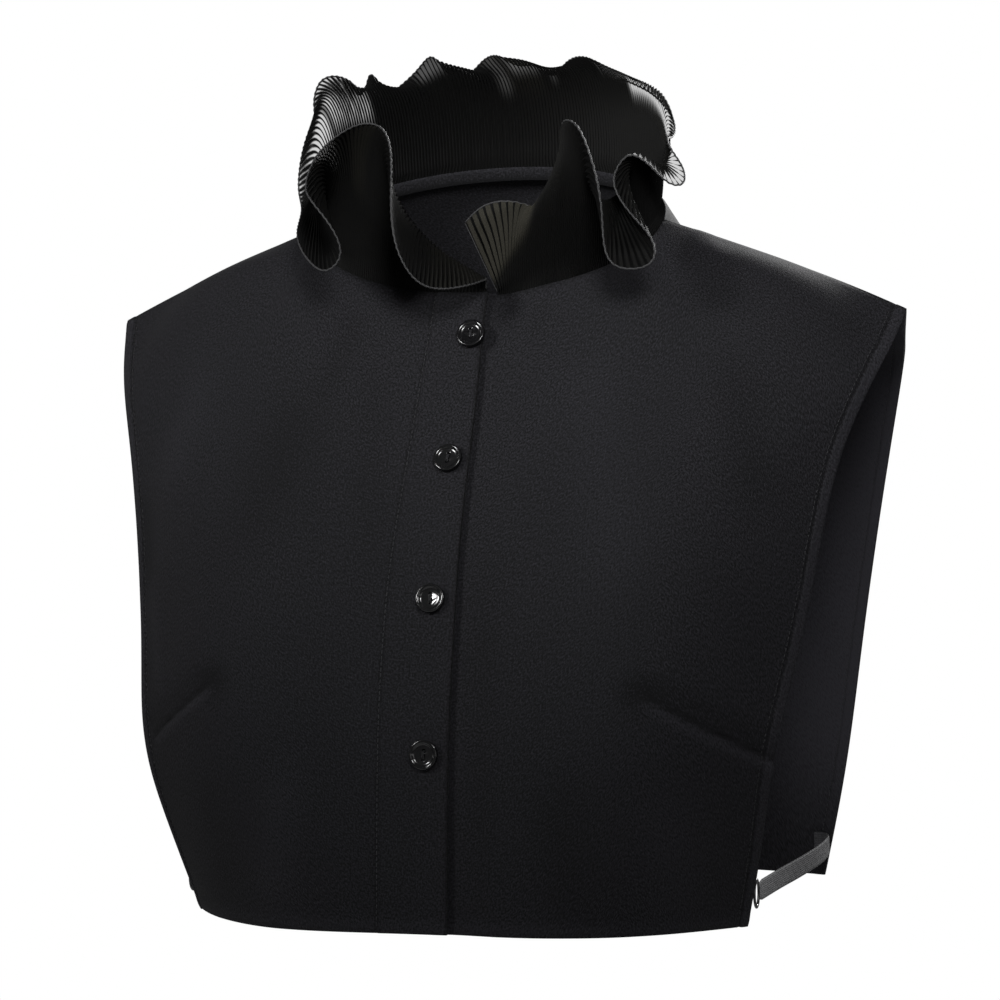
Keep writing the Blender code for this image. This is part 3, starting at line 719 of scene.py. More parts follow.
def trail(grid, normals, rows, columns, lift):
    # points on one face of a panel at pairs of row and column places, lifted off it
    low = np.clip(np.floor(rows).astype(int), 0, grid.shape[0] - 2)
    left = np.clip(np.floor(columns).astype(int), 0, grid.shape[1] - 2)
    s, t = (rows - low)[:, None], (columns - left)[:, None]

    def read(values):
        upper = values[low, left] * (1 - t) + values[low, left + 1] * t
        lower = values[low + 1, left] * (1 - t) + values[low + 1, left + 1] * t
        return upper * (1 - s) + lower * s

    facing = unit(read(normals))
    return read(grid) + facing * lift, facing


stitchValues = dict(
    length=1.7, pitch=2.5, radius=0.2, sides=6,
    profile=[(-0.5, 0.35), (-0.3, 1.0), (0.3, 1.0), (0.5, 0.35)],
)


def makeStitches(name, trails):
    # one small capsule, copied along each trail of points
    s = stitchValues
    sides = s["sides"]
    turn = 2 * np.pi * np.arange(sides) / sides
    points, faces = [], []
    for line, facing in trails:
        run = runningLength(line)
        spots = np.arange(s["pitch"] / 2, run[-1], s["pitch"])
        centre = readAt(spots, run, line)
        up = unit(readAt(spots, run, facing))
        ahead = unit(np.gradient(centre, axis=0))
        side = np.cross(ahead, up)
        for k in range(len(spots)):
            first = len(points)
            for place, width in s["profile"]:
                for angle in turn:
                    offset = side[k] * np.cos(angle) + up[k] * np.sin(angle)
                    points.append(centre[k] + ahead[k] * place * s["length"] + offset * width * s["radius"])
            faces += [face[::-1] for face in ringFaces(first, len(s["profile"]), sides)]
    return makePiece(name, points, faces, looks["thread"])


# Fronts

frontValues = dict(
    rows=17,
    rowsAt=[(0, 1, 14), (1, 15, 168), (15, 16, 18)],
    columnsAt=[(0, 0.3, 5), (0.3, 2.7, 16), (2.7, 3.3, 8), (3.3, 16, 62), (16, 17, 20)],
    bands=[(-3.5, -4.0), (4.0, 5.0)],
    placketColumn=3,
    sideStitch=6.8, stitchRows=slice(6, -3), stitchLift=0.1,
    sideRidges=[Ridge(-0.4, 5.3, 0.7), Ridge(-0.2, 0, 0.6)],
    hemRidges=[Ridge(-0.12, 0, 1.0), Ridge(0.25, 3, 3)],
    placketLift=0.45, placketStep=(-0.6, 0.8), placketFold=0.9, foldFade=(3, 9),
    placketRidge=Ridge(-0.35, 0.5, 0.9),
    placketStitch=0.6, placketRows=slice(2, -2), placketStitchLift=0.05,
    frontRidge=Ridge(-0.25, 0, 0.8),
    shades=dict(height=1.6, creases=-1.1, raised=2.2),
    dart=dict(right=[(-97, -196), (-133.5, -221)], left=[(95, -199), (140, -230)]),
    dartRidges=[Ridge(-1.0, 0, 1.1), Ridge(0.6, 3.0, 2.4), Ridge(-0.3, -5, 5)],
    dartDimple=Ridge(-0.7, -1, 7),
    dartStart=(-2, 6), dartEnd=(2, 8),
)
# from and to (x, z, x, z) in the front view, how deep, how wide
frontCreases = dict(
    right=[
        (-152, -120, -146, -160, 0.9, 5), (-141, -160, -132, -205, -0.9, 5),
        (-60, -60, -95, -150, 0.8, 16), (-40, -60, -24, -150, 0.5, 9), (-120, -60, -136, -120, -0.7, 10),
        (-60, -230, -70, -300, -0.9, 12), (-100, -235, -95, -300, 0.8, 12), (-48, -38, -60, -75, 0.6, 6),
    ],
    left=[
        (94, -5, 110, -18, -0.7, 2.5), (90, -8, 96, -22, 0.9, 3), (38, -34, 30, -52, 0.45, 3),
        (120, -60, 140, -130, 0.8, 11), (60, -60, 84, -160, -0.7, 15), (60, -230, 66, -300, 0.9, 13),
        (104, -240, 100, -300, -0.8, 11), (24, -150, 27, -290, 0.5, 8),
    ],
)


def frontGrid(side):
    v = frontValues
    edge = (-cloth["lapAtNeck"], -cloth["lapBelow"]) if side < 0 else (-cloth["underlap"],) * 2
    bands = [edge, *v["bands"], (cloth["stitchAtNeck"], cloth["stitchAtHem"])]
    coarse = halfPanel(frontLevels, -1, side, bands, panelRows(v["rows"]))
    rowsAt = places(*v["rowsAt"])
    columnsAt = places(*v["columnsAt"])
    grid = refinedPanel(coarse, [len(bands) - 1 + neckSteps], rowsAt, columnsAt)
    normals = surfaceNormals(grid, insidePoints["halfFront"])
    if side > 0:
        grid = grid - normals * sinkUnder(grid[..., 0])[..., None]
    openSeam(grid, -1)
    if side < 0:
        grid[..., 0] *= -1
        normals[..., 0] *= -1
    return grid, normals, columnsAt


def dartHeight(grid, tip, mouth):
    # a sewn dart: a groove, with the fold lying under the cloth on its lower side
    v = frontValues
    along, below, length = alongLine(grid, tip, mouth)
    below = below * np.sign(mouth[0] - tip[0])
    dimple = v["dartDimple"]
    hollow = dimple.height * hump(np.hypot(along - dimple.at, below), dimple.width)
    on = between(along, v["dartStart"], np.add(v["dartEnd"], length))
    return ridged(below, *v["dartRidges"]) * on + hollow


def makeFront(name, side, node):
    v = frontValues
    key = "right" if side < 0 else "left"
    grid, normals, columnsAt = frontGrid(side)
    fromFront, fromSide, fromTop, fromHem = distances(grid)
    creases = creased(grid, frontCreases[key])
    height = creases + dartHeight(grid, *v["dart"][key]) + ridged(fromTop, cloth["topRidge"])
    raised = hemLift(fromSide) + ridged(fromSide, *v["sideRidges"]) + ridged(fromHem, *v["hemRidges"])
    placket = 0
    below = cloth["thick"] / 2 + 0 * fromFront
    if side < 0:
        stitch = np.interp(v["placketColumn"], columnsAt, np.arange(len(columnsAt)))
        pastLine = fromFront - fromFront[:, int(round(stitch))][:, None]
        placket = v["placketLift"] * (1 - smoothStep(*v["placketStep"], pastLine))
        raised += placket + ridged(pastLine, v["placketRidge"]) + ridged(fromFront, v["frontRidge"])
        below += v["placketFold"] * (1 - smoothStep(*v["foldFade"], fromFront))
    over = cloth["thick"] / 2 + raised
    outer, inner, normals = panelFaces(grid, normals, height, over, below, insidePoints["front"])
    uv = np.stack([fromFront * mm, fromTop * mm], -1)
    # painted light and shade for the colour, taken from the creases, the dart and the raised edges
    shades = v["shades"]
    relief = shades["height"] * height + shades["creases"] * creases + shades["raised"] * (raised - placket)
    piece = makeShell(name, outer, inner, looks["crepe"], "crepe", uv, {"relief": relief})
    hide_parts(node)
    rows, part = np.arange(len(grid), dtype=float), v["stitchRows"]
    column = columnsFrom(fromSide, v["sideStitch"])
    trails = [trail(outer, normals, rows[part], column[part], v["stitchLift"])]
    if side < 0:
        rows = rows[v["placketRows"]]
        column = np.full(len(rows), stitch + v["placketStitch"])
        trails.append(trail(outer, normals, rows, column, v["placketStitchLift"]))
    stitches = makeStitches(name + "Stitches", trails)
    return outer, normals


rightOuter, rightNormals = makeFront("rightFront", -1, "right_front")
leftOuter, _ = makeFront("leftFront", 1, "left_front")
print("fronts made")


# Back

backCreases = [
    (-100, -60, -60, -170, 0.9, 18), (95, -60, 66, -150, -0.8, 17), (-30, -40, -12, -120, -0.6, 12),
    (40, -120, 52, -290, 0.8, 16), (-60, -200, -72, -300, -0.9, 15), (120, -80, 128, -200, 0.7, 10),
    (-140, -90, -126, -210, -0.7, 9), (4, -150, -4, -300, 0.5, 20),
]
backValues = dict(
    rows=16,
    rowsAt=[(0, 1, 12), (1, 14, 126), (14, 15, 14)],
    columnsAt=[(0, 1, 18), (1, 27, 130), (27, 28, 18)],
    sideStitch=5.6, stitchRows=slice(6, -3), stitchLift=0.08,
    sideRidge=Ridge(-0.3, 5.3, 0.7),
    hemRidge=Ridge(-0.12, 0, 1.0),
    # painted light on the back's inner face, strongest at the top and towards the sides
    innerLightAtTop=2.8, innerLightSide=(70, 125), innerLightUp=(-300, -230),
)


def makeBack():
    v = backValues
    halves = []
    for side in (-1, 1):
        half = halfPanel(backLevels, 1, side, [(0.0, 0.0)], panelRows(v["rows"]))
        openSeam(half, 1)
        halves.append(half * [side, 1, 1])
    coarse = np.concatenate([halves[0][:, :0:-1], halves[1]], axis=1)
    centre = coarse.shape[1] // 2
    columnsAt = places(*v["columnsAt"])
    grid = refinedPanel(coarse, [centre - neckSteps, centre + neckSteps], places(*v["rowsAt"]), columnsAt)
    normals = surfaceNormals(grid, insidePoints["back"])
    fromLeft, fromRight, fromTop, fromHem = distances(grid)
    fromSide = np.minimum(fromLeft, fromRight)
    height = creased(grid, backCreases) + ridged(fromTop, cloth["topRidge"])
    raised = hemLift(fromSide) + ridged(fromSide, v["sideRidge"]) + ridged(fromHem, v["hemRidge"])
    half = cloth["thick"] / 2 + raised / 2
    outer, inner, normals = panelFaces(grid, normals, height, half, half, insidePoints["back"])
    uv = np.stack([fromLeft * mm, fromTop * mm], -1)
    # painted light on the inner face, fading in towards the middle and down towards the hem
    paintedInnerLight = v["innerLightAtTop"] * smoothStep(*v["innerLightSide"], np.abs(grid[..., 0]))
    paintedInnerLight = (paintedInnerLight * smoothStep(*v["innerLightUp"], grid[..., 2])).ravel()
    shade = {"relief": height + raised}
    piece = makeShell("backPanel", outer, inner, looks["crepe"], "crepe", uv, shade, paintedInnerLight)
    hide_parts("back")
    rows = np.arange(len(grid), dtype=float)[v["stitchRows"]]
    trails = []
    for distance in (fromLeft, fromRight):
        column = columnsFrom(distance, v["sideStitch"])[v["stitchRows"]]
        for face, facing in ((outer, normals), (inner, -normals)):
            trails.append(trail(face, facing, rows, column, v["stitchLift"]))
    stitches = makeStitches("backStitches", trails)


makeBack()
print("back made")


# Ruffle

ruffle = dict(
    height=70.0, thick=0.3,
    lift=1.1, inset=0.9, insetFade=0.12, turnedIn=2.0,
    rows=24, pleats=340, steps=4,
    depthAtSeam=0.22, depthAtEdge=0.8, depthGrowth=0.8, flatAtEdge=0.8, flatFrom=0.9,
    steepest=0.38, roomShare=0.45,
    endShare=0.45, endTaper=22.0,
    edgePoints=4000, turnEvening=41,
    lineSteps=25, halvings=30, highest=4, room=(1.7, 20),
    sinkRun=(0, 0.87, -0.3),
    evening=0.09, eveningFall=0.7, normalEvening=0.0125, depthEvening=3,
    edgeRound=0.42, endRound=0.35, threadSides=6,
)
# the free edge: the turn of the neck that a pleat starts from, and where it ends (x, y, z)
folds = [
    # the turned-down front end and the tall arch beside it
    (-6, 11, -42, -25), (1, 9, -54, -27), (8, -1, -64, -29), (15, -11, -69, -26),
    (21, -20, -70, -12), (26, -25, -63, 9), (31, -29, -50, 29), (36, -37, -39, 42),
    (41, -48, -35, 44), (45, -58, -38, 39), (50, -66, -45, 29),
    # the bell that falls forward over the wearer's right shoulder
    (54, -67, -54, 18), (57.5, -63, -62, 12), (60.5, -56, -67, 5), (65, -49, -69, -4),
    (69, -47, -68, -14), (74, -53, -67, -20), (78.5, -63, -60, -17),
    (82, -73, -47, -9), (86, -80, -30, -1), (90, -86, -8, 8),
    # the side and the fan behind it
    (94, -93, 8, 17), (98, -97, 21, 28), (102, -98, 29, 37), (106, -97, 34, 45),
    (110, -95, 36, 52), (112.5, -96, 39, 58), (115, -96, 42, 64),
    (118, -94, 45, 69), (121, -90, 49, 71), (124, -86, 55, 70), (127, -84, 61, 67),
    (130, -83, 66, 63), (132.5, -80, 67, 67), (135, -77, 65, 72),
    (137.5, -75, 67, 70), (140, -75, 72, 65), (144, -72, 76, 64),
    # the waves of the back
    (148, -66, 79, 68), (152, -58, 79, 75), (156, -51, 76, 80), (159, -46, 74, 77),
    (163, -42, 75, 72), (167, -38, 79, 69), (172, -34, 84, 72), (176, -28, 85, 78),
    (180, -22, 82, 80), (184, -15, 77, 78), (188, -9, 76, 75), (192, -5, 81, 75),
    (196, -1, 82, 75), (200, 5, 77, 71), (204, 12, 71, 70),
    # the large fan with its lip, and the small fan
    (208, 16, 70, 74), (213, 22, 69, 77), (219, 31, 65, 75), (225, 37, 60, 69),
    (230, 42, 56, 65), (235, 47, 55, 65), (240, 53, 54, 63), (245, 61, 51, 59),
    (249, 68, 45, 54), (253, 75, 37, 47), (257, 79, 27, 41), (261, 81, 15, 37),
    (265, 82, 5, 36), (268, 83, -2, 35), (271, 85, -7, 32), (274, 89, -11, 27),
    (277, 93, -14, 21), (280, 94, -20, 15), (283, 90, -27, 15), (286, 85, -31, 20),
    # the arch and the bell at the front left
    (289, 80, -34, 25), (292, 75, -37, 27), (295, 71, -40, 23), (298, 70, -45, 15),
    (301, 76, -50, 5), (304, 84, -55, -3), (307, 90, -57, -11),
    (310, 90, -60, -19), (313, 82, -63, -22), (316, 73, -62, -19),
    (318, 69, -59, -11), (320, 67, -54, -1),
    # the narrow upright fold and the left end, turned in
    (321, 64, -48, 12), (323, 59, -43, 27), (325, 53, -39, 39), (328, 47, -33, 43),
    (331, 42, -26, 42), (333, 40, -19, 35), (335, 43, -17, 25), (337, 47, -18, 16),
    (339, 48, -20, 9), (341, 44, -22, 5), (343, 36, -24, 4), (345, 25, -24, 7),
    (347, 15, -24, 9), (349, 5, -25, 7), (351, -3, -27, 0),
]
# patches where a single layer lets light through, and patches of painted light where more light falls on the
# cloth: each with its turns of the neck (from, to), the share of the height at which it starts, and its
# strength
patches = dict(
    sheer=[
        (92, 108, 0.05, 1.0), (109, 129, 0.38, 1.0), (46, 52, 0.5, 0.45), (150, 160, 0.72, 0.35),
        (175, 180, 0.42, 0.25), (181, 191, 0.62, 0.4), (194, 197, 0.5, 0.27), (217, 232, 0.64, 0.65),
        (229, 262, 0.45, 1.0), (269, 285, 0.3, 1.0), (331, 335, 0.35, 0.45), (340, 352, 0.35, 0.6),
    ],
    pale=[
        (-6, 12, 0.2, 0.3), (37, 43, 0.35, 0.5), (175, 191, 0.45, 0.5), (341, 352, 0.3, 1.0),
    ],
)
patchBlend = dict(turns=(-2, 2), climb=(-0.1, 0.14))


def patched(table, turns, climb):
    blend = patchBlend["turns"]
    amount = np.zeros((len(climb), len(turns)))
    for first, last, above, strength in table:
        across = between(turns, np.add(first, blend), np.add(last, blend))
        up = smoothStep(*np.add(above, patchBlend["climb"]), climb)
        amount = np.maximum(amount, strength * up[:, None] * across)
    return amount


def underlapSink(seam, turn):
    # only the last quarter of the neck's turns lies on the left front
    return np.where(turn > 270, sinkUnder(seam[:, 0]), 0)


def bezier(start, control, end, share):
    return (1 - share) ** 2 * start + 2 * share * (1 - share) * control + share ** 2 * end


def ruffleLines(columns):
    # each pleat stands up from the seam and falls to its end on the free edge
    r = ruffle
    table = np.array(folds, float)
    ends = table[:, 1:]
    knots = np.concatenate([[0], np.cumsum(sizes(np.diff(ends, axis=0)) ** 0.5)])
    fine = np.linspace(0, knots[-1], r["edgePoints"])
    edge = spline(knots, ends, fine)
    turn = evened(np.interp(fine, knots, table[:, 0])[:, None], r["turnEvening"])[:, 0]
    seam = neckPoint(turn)
    runEdge, runSeam = runningLength(edge), runningLength(seam)
    mixed = runEdge / runEdge[-1] + runSeam / runSeam[-1]
    index = np.arange(len(fine))
    place = np.interp(np.linspace(0, mixed[-1], columns), mixed, index)
    end, start = readAt(place, index, edge), readAt(place, index, seam)
    turns = np.interp(place, index, turn)
    start[:, 2] += r["lift"]
    start += underlapSink(start, turns)[:, None] * r["sinkRun"]
    fromEnd = np.minimum(index[-1] - place, place) / index[-1] * runSeam[-1]
    height = r["height"] * (r["endShare"] + (1 - r["endShare"]) * smoothStep(0, r["endTaper"], fromEnd))
    # how high each line's control point has to be for the pleat's length, found by halving
    steps = np.linspace(0, 1, r["lineSteps"])[:, None, None]
    low, high = np.zeros(columns), np.full(columns, r["highest"] * r["height"])
    rise = np.array([0, 0, 1.0])
    for _ in range(r["halvings"]):
        middle = (low + high) / 2
        line = bezier(start, start + rise * middle[:, None], end, steps)
        length = sizes(np.diff(line, axis=0)).sum(axis=0)
        low = np.where(length < height, middle, low)
        high = np.where(length < height, high, middle)
    across = sizes((end - start)[:, :2])
    gain, loss = r["room"]
    room = np.maximum(end[:, 2] - start[:, 2], 0) + np.maximum(gain * across - loss, 1)
    return start, start + rise * np.minimum(low, room)[:, None], end, turns


def leastAround(values):
    return np.minimum(values, np.minimum(np.roll(values, 1, axis=1), np.roll(values, -1, axis=1)))


def makeRuffle():
    r = ruffle
    columns = r["steps"] * r["pleats"] + 1
    rows = r["rows"]
    start, control, end, turns = ruffleLines(columns)
    share = np.linspace(0, 1, rows)[:, None, None]
    grid = bezier(start, control, end, share)
    for row in range(1, rows - 1):
        grid[row] = evened(grid[row], r["evening"] * columns * (1 - row / (rows - 1)) ** r["eveningFall"])
    grid -= outOfNeck(turns) * r["inset"] * (1 - smoothStep(0, r["insetFade"], share))
    normals = unit(np.cross(np.gradient(grid, axis=1), np.gradient(grid, axis=0)))
    for row in range(rows):
        normals[row] = evened(normals[row], r["normalEvening"] * columns)
    normals = unit(normals)
    width = sizes(np.cross(np.gradient(grid, axis=1), unit(np.gradient(grid, axis=0))))
    bend = sizes(np.gradient(normals, axis=1))
    room = np.clip(r["roomShare"] * width / np.maximum(bend, 1e-6) - r["thick"] / 2, 0, None)
    climb = share[..., 0]
    depth = r["depthAtSeam"] + (r["depthAtEdge"] - r["depthAtSeam"]) * climb ** r["depthGrowth"]
    depth = depth * (1 - r["flatAtEdge"] * smoothStep(r["flatFrom"], 1.0, climb))
    depth = np.minimum(np.minimum(depth, room), r["steepest"] * r["steps"] * width)
    for _ in range(r["depthEvening"]):
        depth = leastAround(depth)
    count = np.arange(columns) / r["steps"]
    middle = grid + normals * (depth * np.sin(2 * np.pi * count))[..., None]
    tuck = middle[0] - [0, 0, r["turnedIn"]]
    middle = np.concatenate([tuck[None], middle])
    half = np.concatenate([normals[:1], normals]) * r["thick"] / 2
    climb = np.concatenate([[0], share[:, 0, 0]])
    uv = crossed(count, climb)
    spread = {key: patched(table, turns, climb) for key, table in patches.items()}
    piece = makeShell("pleatedRuffle", middle + half, middle - half, looks["organza"], "organza", uv, spread)
    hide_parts("ruffle")
    lines = dict(rolledEdge=middle[-1], rightEndHem=middle[2:, 0], leftEndHem=middle[2:, -1])
    for name, line in lines.items():
        radius = r["edgeRound"] if name == "rolledEdge" else r["endRound"]
        makeTube(name, line, radius, r["threadSides"], looks["edge"])
    print("free edge is %.3f m long over its pleats" % (runningLength(middle[-1])[-1] * mm))


makeRuffle()
print("ruffle made")


# Neckband

band = dict(
    thick=1.0, inset=1.9, above=0.6, height=6.0,
    start=13.0, end=357.0,
    columns=420, rows=9,
    sinkDown=0.5, puff=0.5, thinAtEdge=0.25, ripple=0.12, rippleTurns=(2.1, 0.37),
    litAbove=(1.2, 0.2), shadeBelow=1.6, shadeFrom=(0.5, 1),
)


def makeNeckband():
    b = band
    turn = np.linspace(b["start"], b["end"], b["columns"])
    out = outOfNeck(turn)
    seam = neckPoint(turn)
    sink = underlapSink(seam, turn)
    line = seam - out * (b["inset"] + sink)[:, None]
    line[:, 2] -= b["sinkDown"] * sink
    climb = np.linspace(0, 1, b["rows"])
    grid = np.array([line + np.array([0, 0, b["above"] - b["height"] * share]) for share in climb])
    puff = np.sin(np.pi * climb)[:, None] ** b["puff"]
    slow, slower = b["rippleTurns"]
    ripple = 1 + b["ripple"] * np.sin(turn * slow) * np.sin(turn * slower)
    thin = b["thinAtEdge"]
    half = out[None] * (b["thick"] / 2 * (thin + (1 - thin) * puff * ripple))[..., None]
    run = runningLength(line)
    uv = crossed(run, climb * b["height"]) * mm
    gain, width = b["litAbove"]
    # a painted highlight along the band's top edge and painted shade over its lower half
    relief = gain * hump(climb, width) - b["shadeBelow"] * smoothStep(*b["shadeFrom"], climb)
    relief = np.broadcast_to(relief[:, None], grid.shape[:2])
    sides = grid + half, grid - half
    piece = makeShell("neckBinding", *sides, looks["band"], "bias_band", uv, {"relief": relief})
    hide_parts("neckband")


makeNeckband()
print("neckband made")


# Buttons

button = dict(
    radius=6.25, thick=2.6, sides=64, gap=0.35,
    places=[(5.0, -49.2), (1.9, -102.2), (1.4, -160.2), (1.9, -224.8)],
    leans=[7, -5, 4, -6],
    nearColumns=40, facing=0.9,
    dish=[(1.2, 0), (0.6, -0.8), (1.1, -0.2)],
    back=[(0.9, -0.1)],
    rim=(0.45, 4, 18),
    hole=0.85, holesApart=3.4, holeSides=32, holeLength=8.0, holeUp=1.0,
    holeLip=(0.12, 2, 50),
    smoothBelow=35,
    strands=dict(a=-0.28, b=0.28),
    strandFoot=0.6, strandRise=1.55, strandFlat=0.35, strandRound=0.2, strandSides=8, strandSteps=15,
)


def frontSpot(x, z):
    # the point and normal of the right front's outer face at a place seen from the front
    both = np.concatenate([rightOuter, rightNormals], axis=2)[:, :button["nearColumns"]]
    line = np.array([[np.interp(-x, -row[:, 0], value) for value in row.T] for row in both])
    order = np.argsort(line[:, 2])
    found = np.array([np.interp(z, line[order, 2], value[order]) for value in line.T])
    return found[:3], unit(found[3:])


def makeCylinder(radius, depth, sides, place):
    bpy.ops.mesh.primitive_cylinder_add(
        vertices=sides, radius=radius * mm, depth=depth * mm, location=[v * mm for v in place])
    return bpy.context.object


def insetFaces(piece, up, steps):
    # insets the faces that look up (or down), then moves them, as each (inset, rise) says
    bpy.ops.object.mode_set(mode="OBJECT")
    for part in (piece.data.vertices, piece.data.edges):
        part.foreach_set("select", [False] * len(part))
    chosen = [face.normal.z * up > button["facing"] for face in piece.data.polygons]
    piece.data.polygons.foreach_set("select", chosen)
    bpy.ops.object.mode_set(mode="EDIT")
    for width, rise in steps:
        bpy.ops.mesh.inset(thickness=width * mm)
        if rise:
            bpy.ops.transform.translate(value=(0, 0, rise * mm))


def addBevel(piece, name, width, segments, angle):
    bevel = piece.modifiers.new(name, "BEVEL")
    bevel.width = width * mm
    bevel.segments = segments
    bevel.limit_method = "ANGLE"
    bevel.angle_limit = math.radians(angle)


def makeButton():
    # turned about Z, its back at the origin; copied to each place afterwards
    b = button
    piece = makeCylinder(b["radius"], b["thick"], b["sides"], (0, 0, b["thick"] / 2))
    bpy.ops.object.transform_apply(location=True)
    bpy.ops.object.mode_set(mode="EDIT")
    bpy.ops.mesh.select_mode(type="FACE")
    insetFaces(piece, 1, b["dish"])
    insetFaces(piece, -1, b["back"])
    bpy.ops.object.mode_set(mode="OBJECT")
    addBevel(piece, "rim", *b["rim"])
    cutters = []
    for shift in (-1, 1):
        place = (0, shift * b["holesApart"] / 2, b["holeUp"])
        cutters.append(makeCylinder(b["hole"], b["holeLength"], b["holeSides"], place))
        cut = piece.modifiers.new("hole", "BOOLEAN")
        cut.operation = "DIFFERENCE"
        cut.object = cutters[-1]
    addBevel(piece, "holeLip", *b["holeLip"])
    bpy.ops.object.select_all(action="DESELECT")
    piece.select_set(True)
    bpy.context.view_layer.objects.active = piece
    for modifier in list(piece.modifiers):
        bpy.ops.object.modifier_apply(modifier=modifier.name)
    bpy.ops.object.shade_smooth_by_angle(angle=math.radians(b["smoothBelow"]))
    for cutter in cutters:
        bpy.data.objects.remove(cutter, do_unlink=True)
    return piece


def makeButtons():
    b = button
    pattern = makeButton()
    sweep = np.linspace(0, 1, b["strandSteps"])
    for number, place in enumerate(b["places"], 1):
        spot, facing = frontSpot(*place)
        facing = Vector(facing)
        across = Vector((0, 0, 1)).cross(facing).normalized()
        high = facing.cross(across)
        place = Vector(spot) * mm + facing * b["gap"] * mm
        lean = Matrix.Rotation(math.radians(b["leans"][number - 1]), 4, "Z")
        matrix = Matrix.Translation(place) @ Matrix((across, high, facing)).transposed().to_4x4() @ lean
        mesh = pattern.data.copy()
        mesh.transform(matrix)
        mesh.name = "button%d" % number
        mesh.materials.clear()
        mesh.materials.append(looks["gloss"])
        piece = linked("button%d" % number, mesh)
        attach(piece, "root")
        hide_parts("button_%d" % number)
        for strand, aside in b["strands"].items():
            ahead = b["holesApart"] / 2 * np.cos(np.pi * (1 - sweep))
            rise = b["strandFoot"] + b["strandRise"] * np.sin(np.pi * sweep) ** b["strandFlat"]
            line = np.stack([0 * sweep + aside, ahead, rise], -1)
            line = np.array([matrix @ Vector(point * mm) for point in line]) / mm
            name = "buttonThread%d%s" % (number, strand)
            makeTube(name, line, b["strandRound"], b["strandSides"], looks["thread"])
    bpy.data.objects.remove(pattern, do_unlink=True)


makeButtons()
print("buttons made")


# Straps and rings

strap = dict(
    width=9.0, thick=0.9,
    backTo=70.0, frontFrom=-25.0,
    path=[
        (122.9, 86.7, -286.5), (128.1, 84.8, -286.5), (130.3, 81.8, -286.8),
        (131.0, 76.0, -287.6), (130.4, 60.0, -289.0), (128.2, 35.0, -290.8),
        (127.0, 10.0, -291.6), (127.2, -15.0, -291.6), (127.8, -33.9, -291.0),
    ],
    columns=220, rows=17,
    narrowBy=0.22, narrowOver=9,
    ribs=9, ribHeight=0.06, waveHeight=0.05, waveTurns=0.9,
    edgeFall=12, thinAtEdge=0.35,
)
ring = dict(height=11.5, width=8.0, wire=1.2, up=-291.0, off=0.9, turns=(72, 16))


def makeStrap(name, side, node):
    s = strap
    path = np.array(s["path"], float)
    knots = runningLength(path)
    line = spline(knots, path, np.linspace(0, knots[-1], s["columns"]))
    ahead = smoothStep(s["backTo"], s["frontFrom"], line[:, 1])
    out = swing(side, 1, line[:, 2]) * (1 - ahead) + swing(side, -1, line[:, 2]) * ahead
    line[:, 0] = (line[:, 0] + out) * side
    run = unit(np.gradient(line, axis=0))
    flat = unit(np.cross(run, [0, 0, 1.0]))
    high = np.cross(flat, run)
    climb = np.linspace(0.5, -0.5, s["rows"])
    length = runningLength(line)
    narrow = 1 - s["narrowBy"] * smoothStep(length[-1] - s["narrowOver"], length[-1], length)
    grid = np.array([line + high * (s["width"] * share * narrow)[:, None] for share in climb])
    ribs = s["ribHeight"] * np.cos(climb * 2 * np.pi * s["ribs"])[:, None]
    wave = np.sin(length * s["waveTurns"])[None] * np.sin(climb * s["ribs"])[:, None]
    edge = np.clip((0.5 - np.abs(climb)) * s["edgeFall"], s["thinAtEdge"], 1)[:, None]
    half = flat[None] * ((s["thick"] / 2 + ribs + s["waveHeight"] * wave) * edge)[..., None]
    uv = crossed(length, climb * s["width"]) * mm
    piece = makeShell(name, grid + half, grid - half, looks["elastic"], "elastic", uv)
    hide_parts(node)


def makeRing(name, side, node):
    r = ring
    outer = rightOuter if side < 0 else leftOuter
    edge = outer[:, -1]
    order = np.argsort(edge[:, 2])
    centre = readAt(r["up"], edge[order, 2], edge[order])
    centre[1] += r["width"] / 2 + r["wire"] / 2 + r["off"]
    major, minor = r["turns"]
    bpy.ops.mesh.primitive_torus_add(
        major_radius=r["width"] * mm / 2, minor_radius=r["wire"] * mm / 2,
        major_segments=major, minor_segments=minor)
    piece = bpy.context.object
    piece.name = name
    piece.data.name = name
    matrix = Matrix.Translation(Vector(centre * mm)) @ Matrix.Rotation(math.radians(90), 4, "Y")
    piece.data.transform(matrix @ Matrix.Diagonal((r["height"] / r["width"], 1, 1, 1)))
    bpy.ops.object.shade_smooth()
    piece.data.materials.clear()
    piece.data.materials.append(looks["wire"])
    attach(piece, "root")
    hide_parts(node)


for name, side in (("Left", 1), ("Right", -1)):
    makeStrap("strap" + name, side, "strap_" + name.lower())
    makeRing("ring" + name, side, "ring_" + name.lower())
print("straps and rings made")


# Floor and light

floorValues = dict(
    radius=1.6, sides=96, up=-0.9,
    colour=(0.85, 0.85, 0.85),
    fixed={"Specular IOR Level": 0.1, "Emission Color": (1, 1, 1, 1), "Emission Strength": 0.06},
    roughness=0.85, roughnessSpread=0.1, scale=30.0,
)


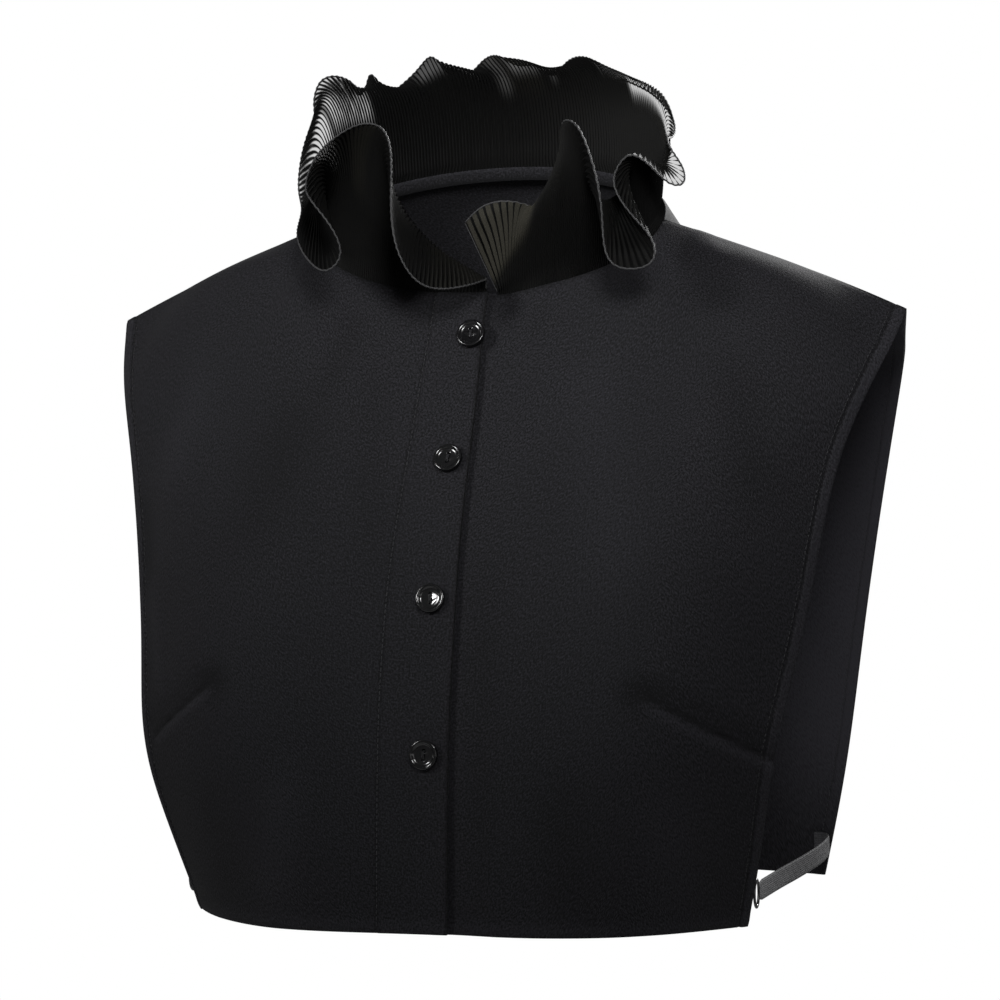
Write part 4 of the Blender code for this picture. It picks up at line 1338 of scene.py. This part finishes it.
def makeFloor():
    v = floorValues
    bpy.ops.mesh.primitive_circle_add(
        vertices=v["sides"], radius=v["radius"], fill_type="NGON", location=(0, 0, v["up"]))
    floor = bpy.context.object
    floor.name = "floor"
    bpy.ops.object.transform_apply(location=True)
    look = Look("paleFloor", v["colour"], v["fixed"])
    look.set("Roughness", v["roughness"] + look.noise(look.place(), v["scale"]) * v["roughnessSpread"])
    floor.data.materials.append(look.material)


# name, place, aim, size, spread in degrees, watts
lights = [
    ("key", (0.4, -0.85, 0.42), (0.1, -0.05, 0.02), 0.3, 42, 0.95),
    ("softLeft", (-0.95, -1.1, 0.6), (-0.1, 0, 0.05), 0.4, 30, 1.2),
    ("fill", (0.7, -1.5, 0.1), (0.1, 0, -0.12), 0.5, 180, 2.0),
    ("stripRight", (1.3, -0.8, -0.15), (0, -0.1, -0.15), 0.22, 180, 0.8),
    ("stripLeft", (-1.3, -0.5, -0.1), (0, -0.1, -0.15), 0.2, 180, 0.5),
    ("backSoft", (0.5, 1.3, 0.6), (0, 0.05, -0.12), 0.6, 70, 9),
]
worldValues = dict(lighting=0.13, background=1.0)


def makeLights():
    for name, place, aim, size, spread, watts in lights:
        data = bpy.data.lights.new(name, "AREA")
        data.size = size
        data.energy = watts
        data.spread = math.radians(spread)
        turn = (Vector(place) - Vector(aim)).to_track_quat("Z", "Y").to_matrix().to_4x4()
        linked(name, data).matrix_world = Matrix.Translation(place) @ turn
    # the backdrop stays white while the sky lights the cloth less
    world = bpy.data.worlds.new("studio")
    world.use_nodes = True
    tree = world.node_tree
    path = tree.nodes.new("ShaderNodeLightPath")
    strength = tree.nodes.new("ShaderNodeMapRange")
    strength.inputs["To Min"].default_value = worldValues["lighting"]
    strength.inputs["To Max"].default_value = worldValues["background"]
    background = tree.nodes["Background"]
    background.inputs["Color"].default_value = (1, 1, 1, 1)
    tree.links.new(path.outputs["Is Camera Ray"], strength.inputs["Value"])
    tree.links.new(strength.outputs["Result"], background.inputs["Strength"])
    bpy.context.scene.world = world
    bpy.context.scene.view_settings.view_transform = "Standard"


makeFloor()
makeLights()
print("floor and light made")
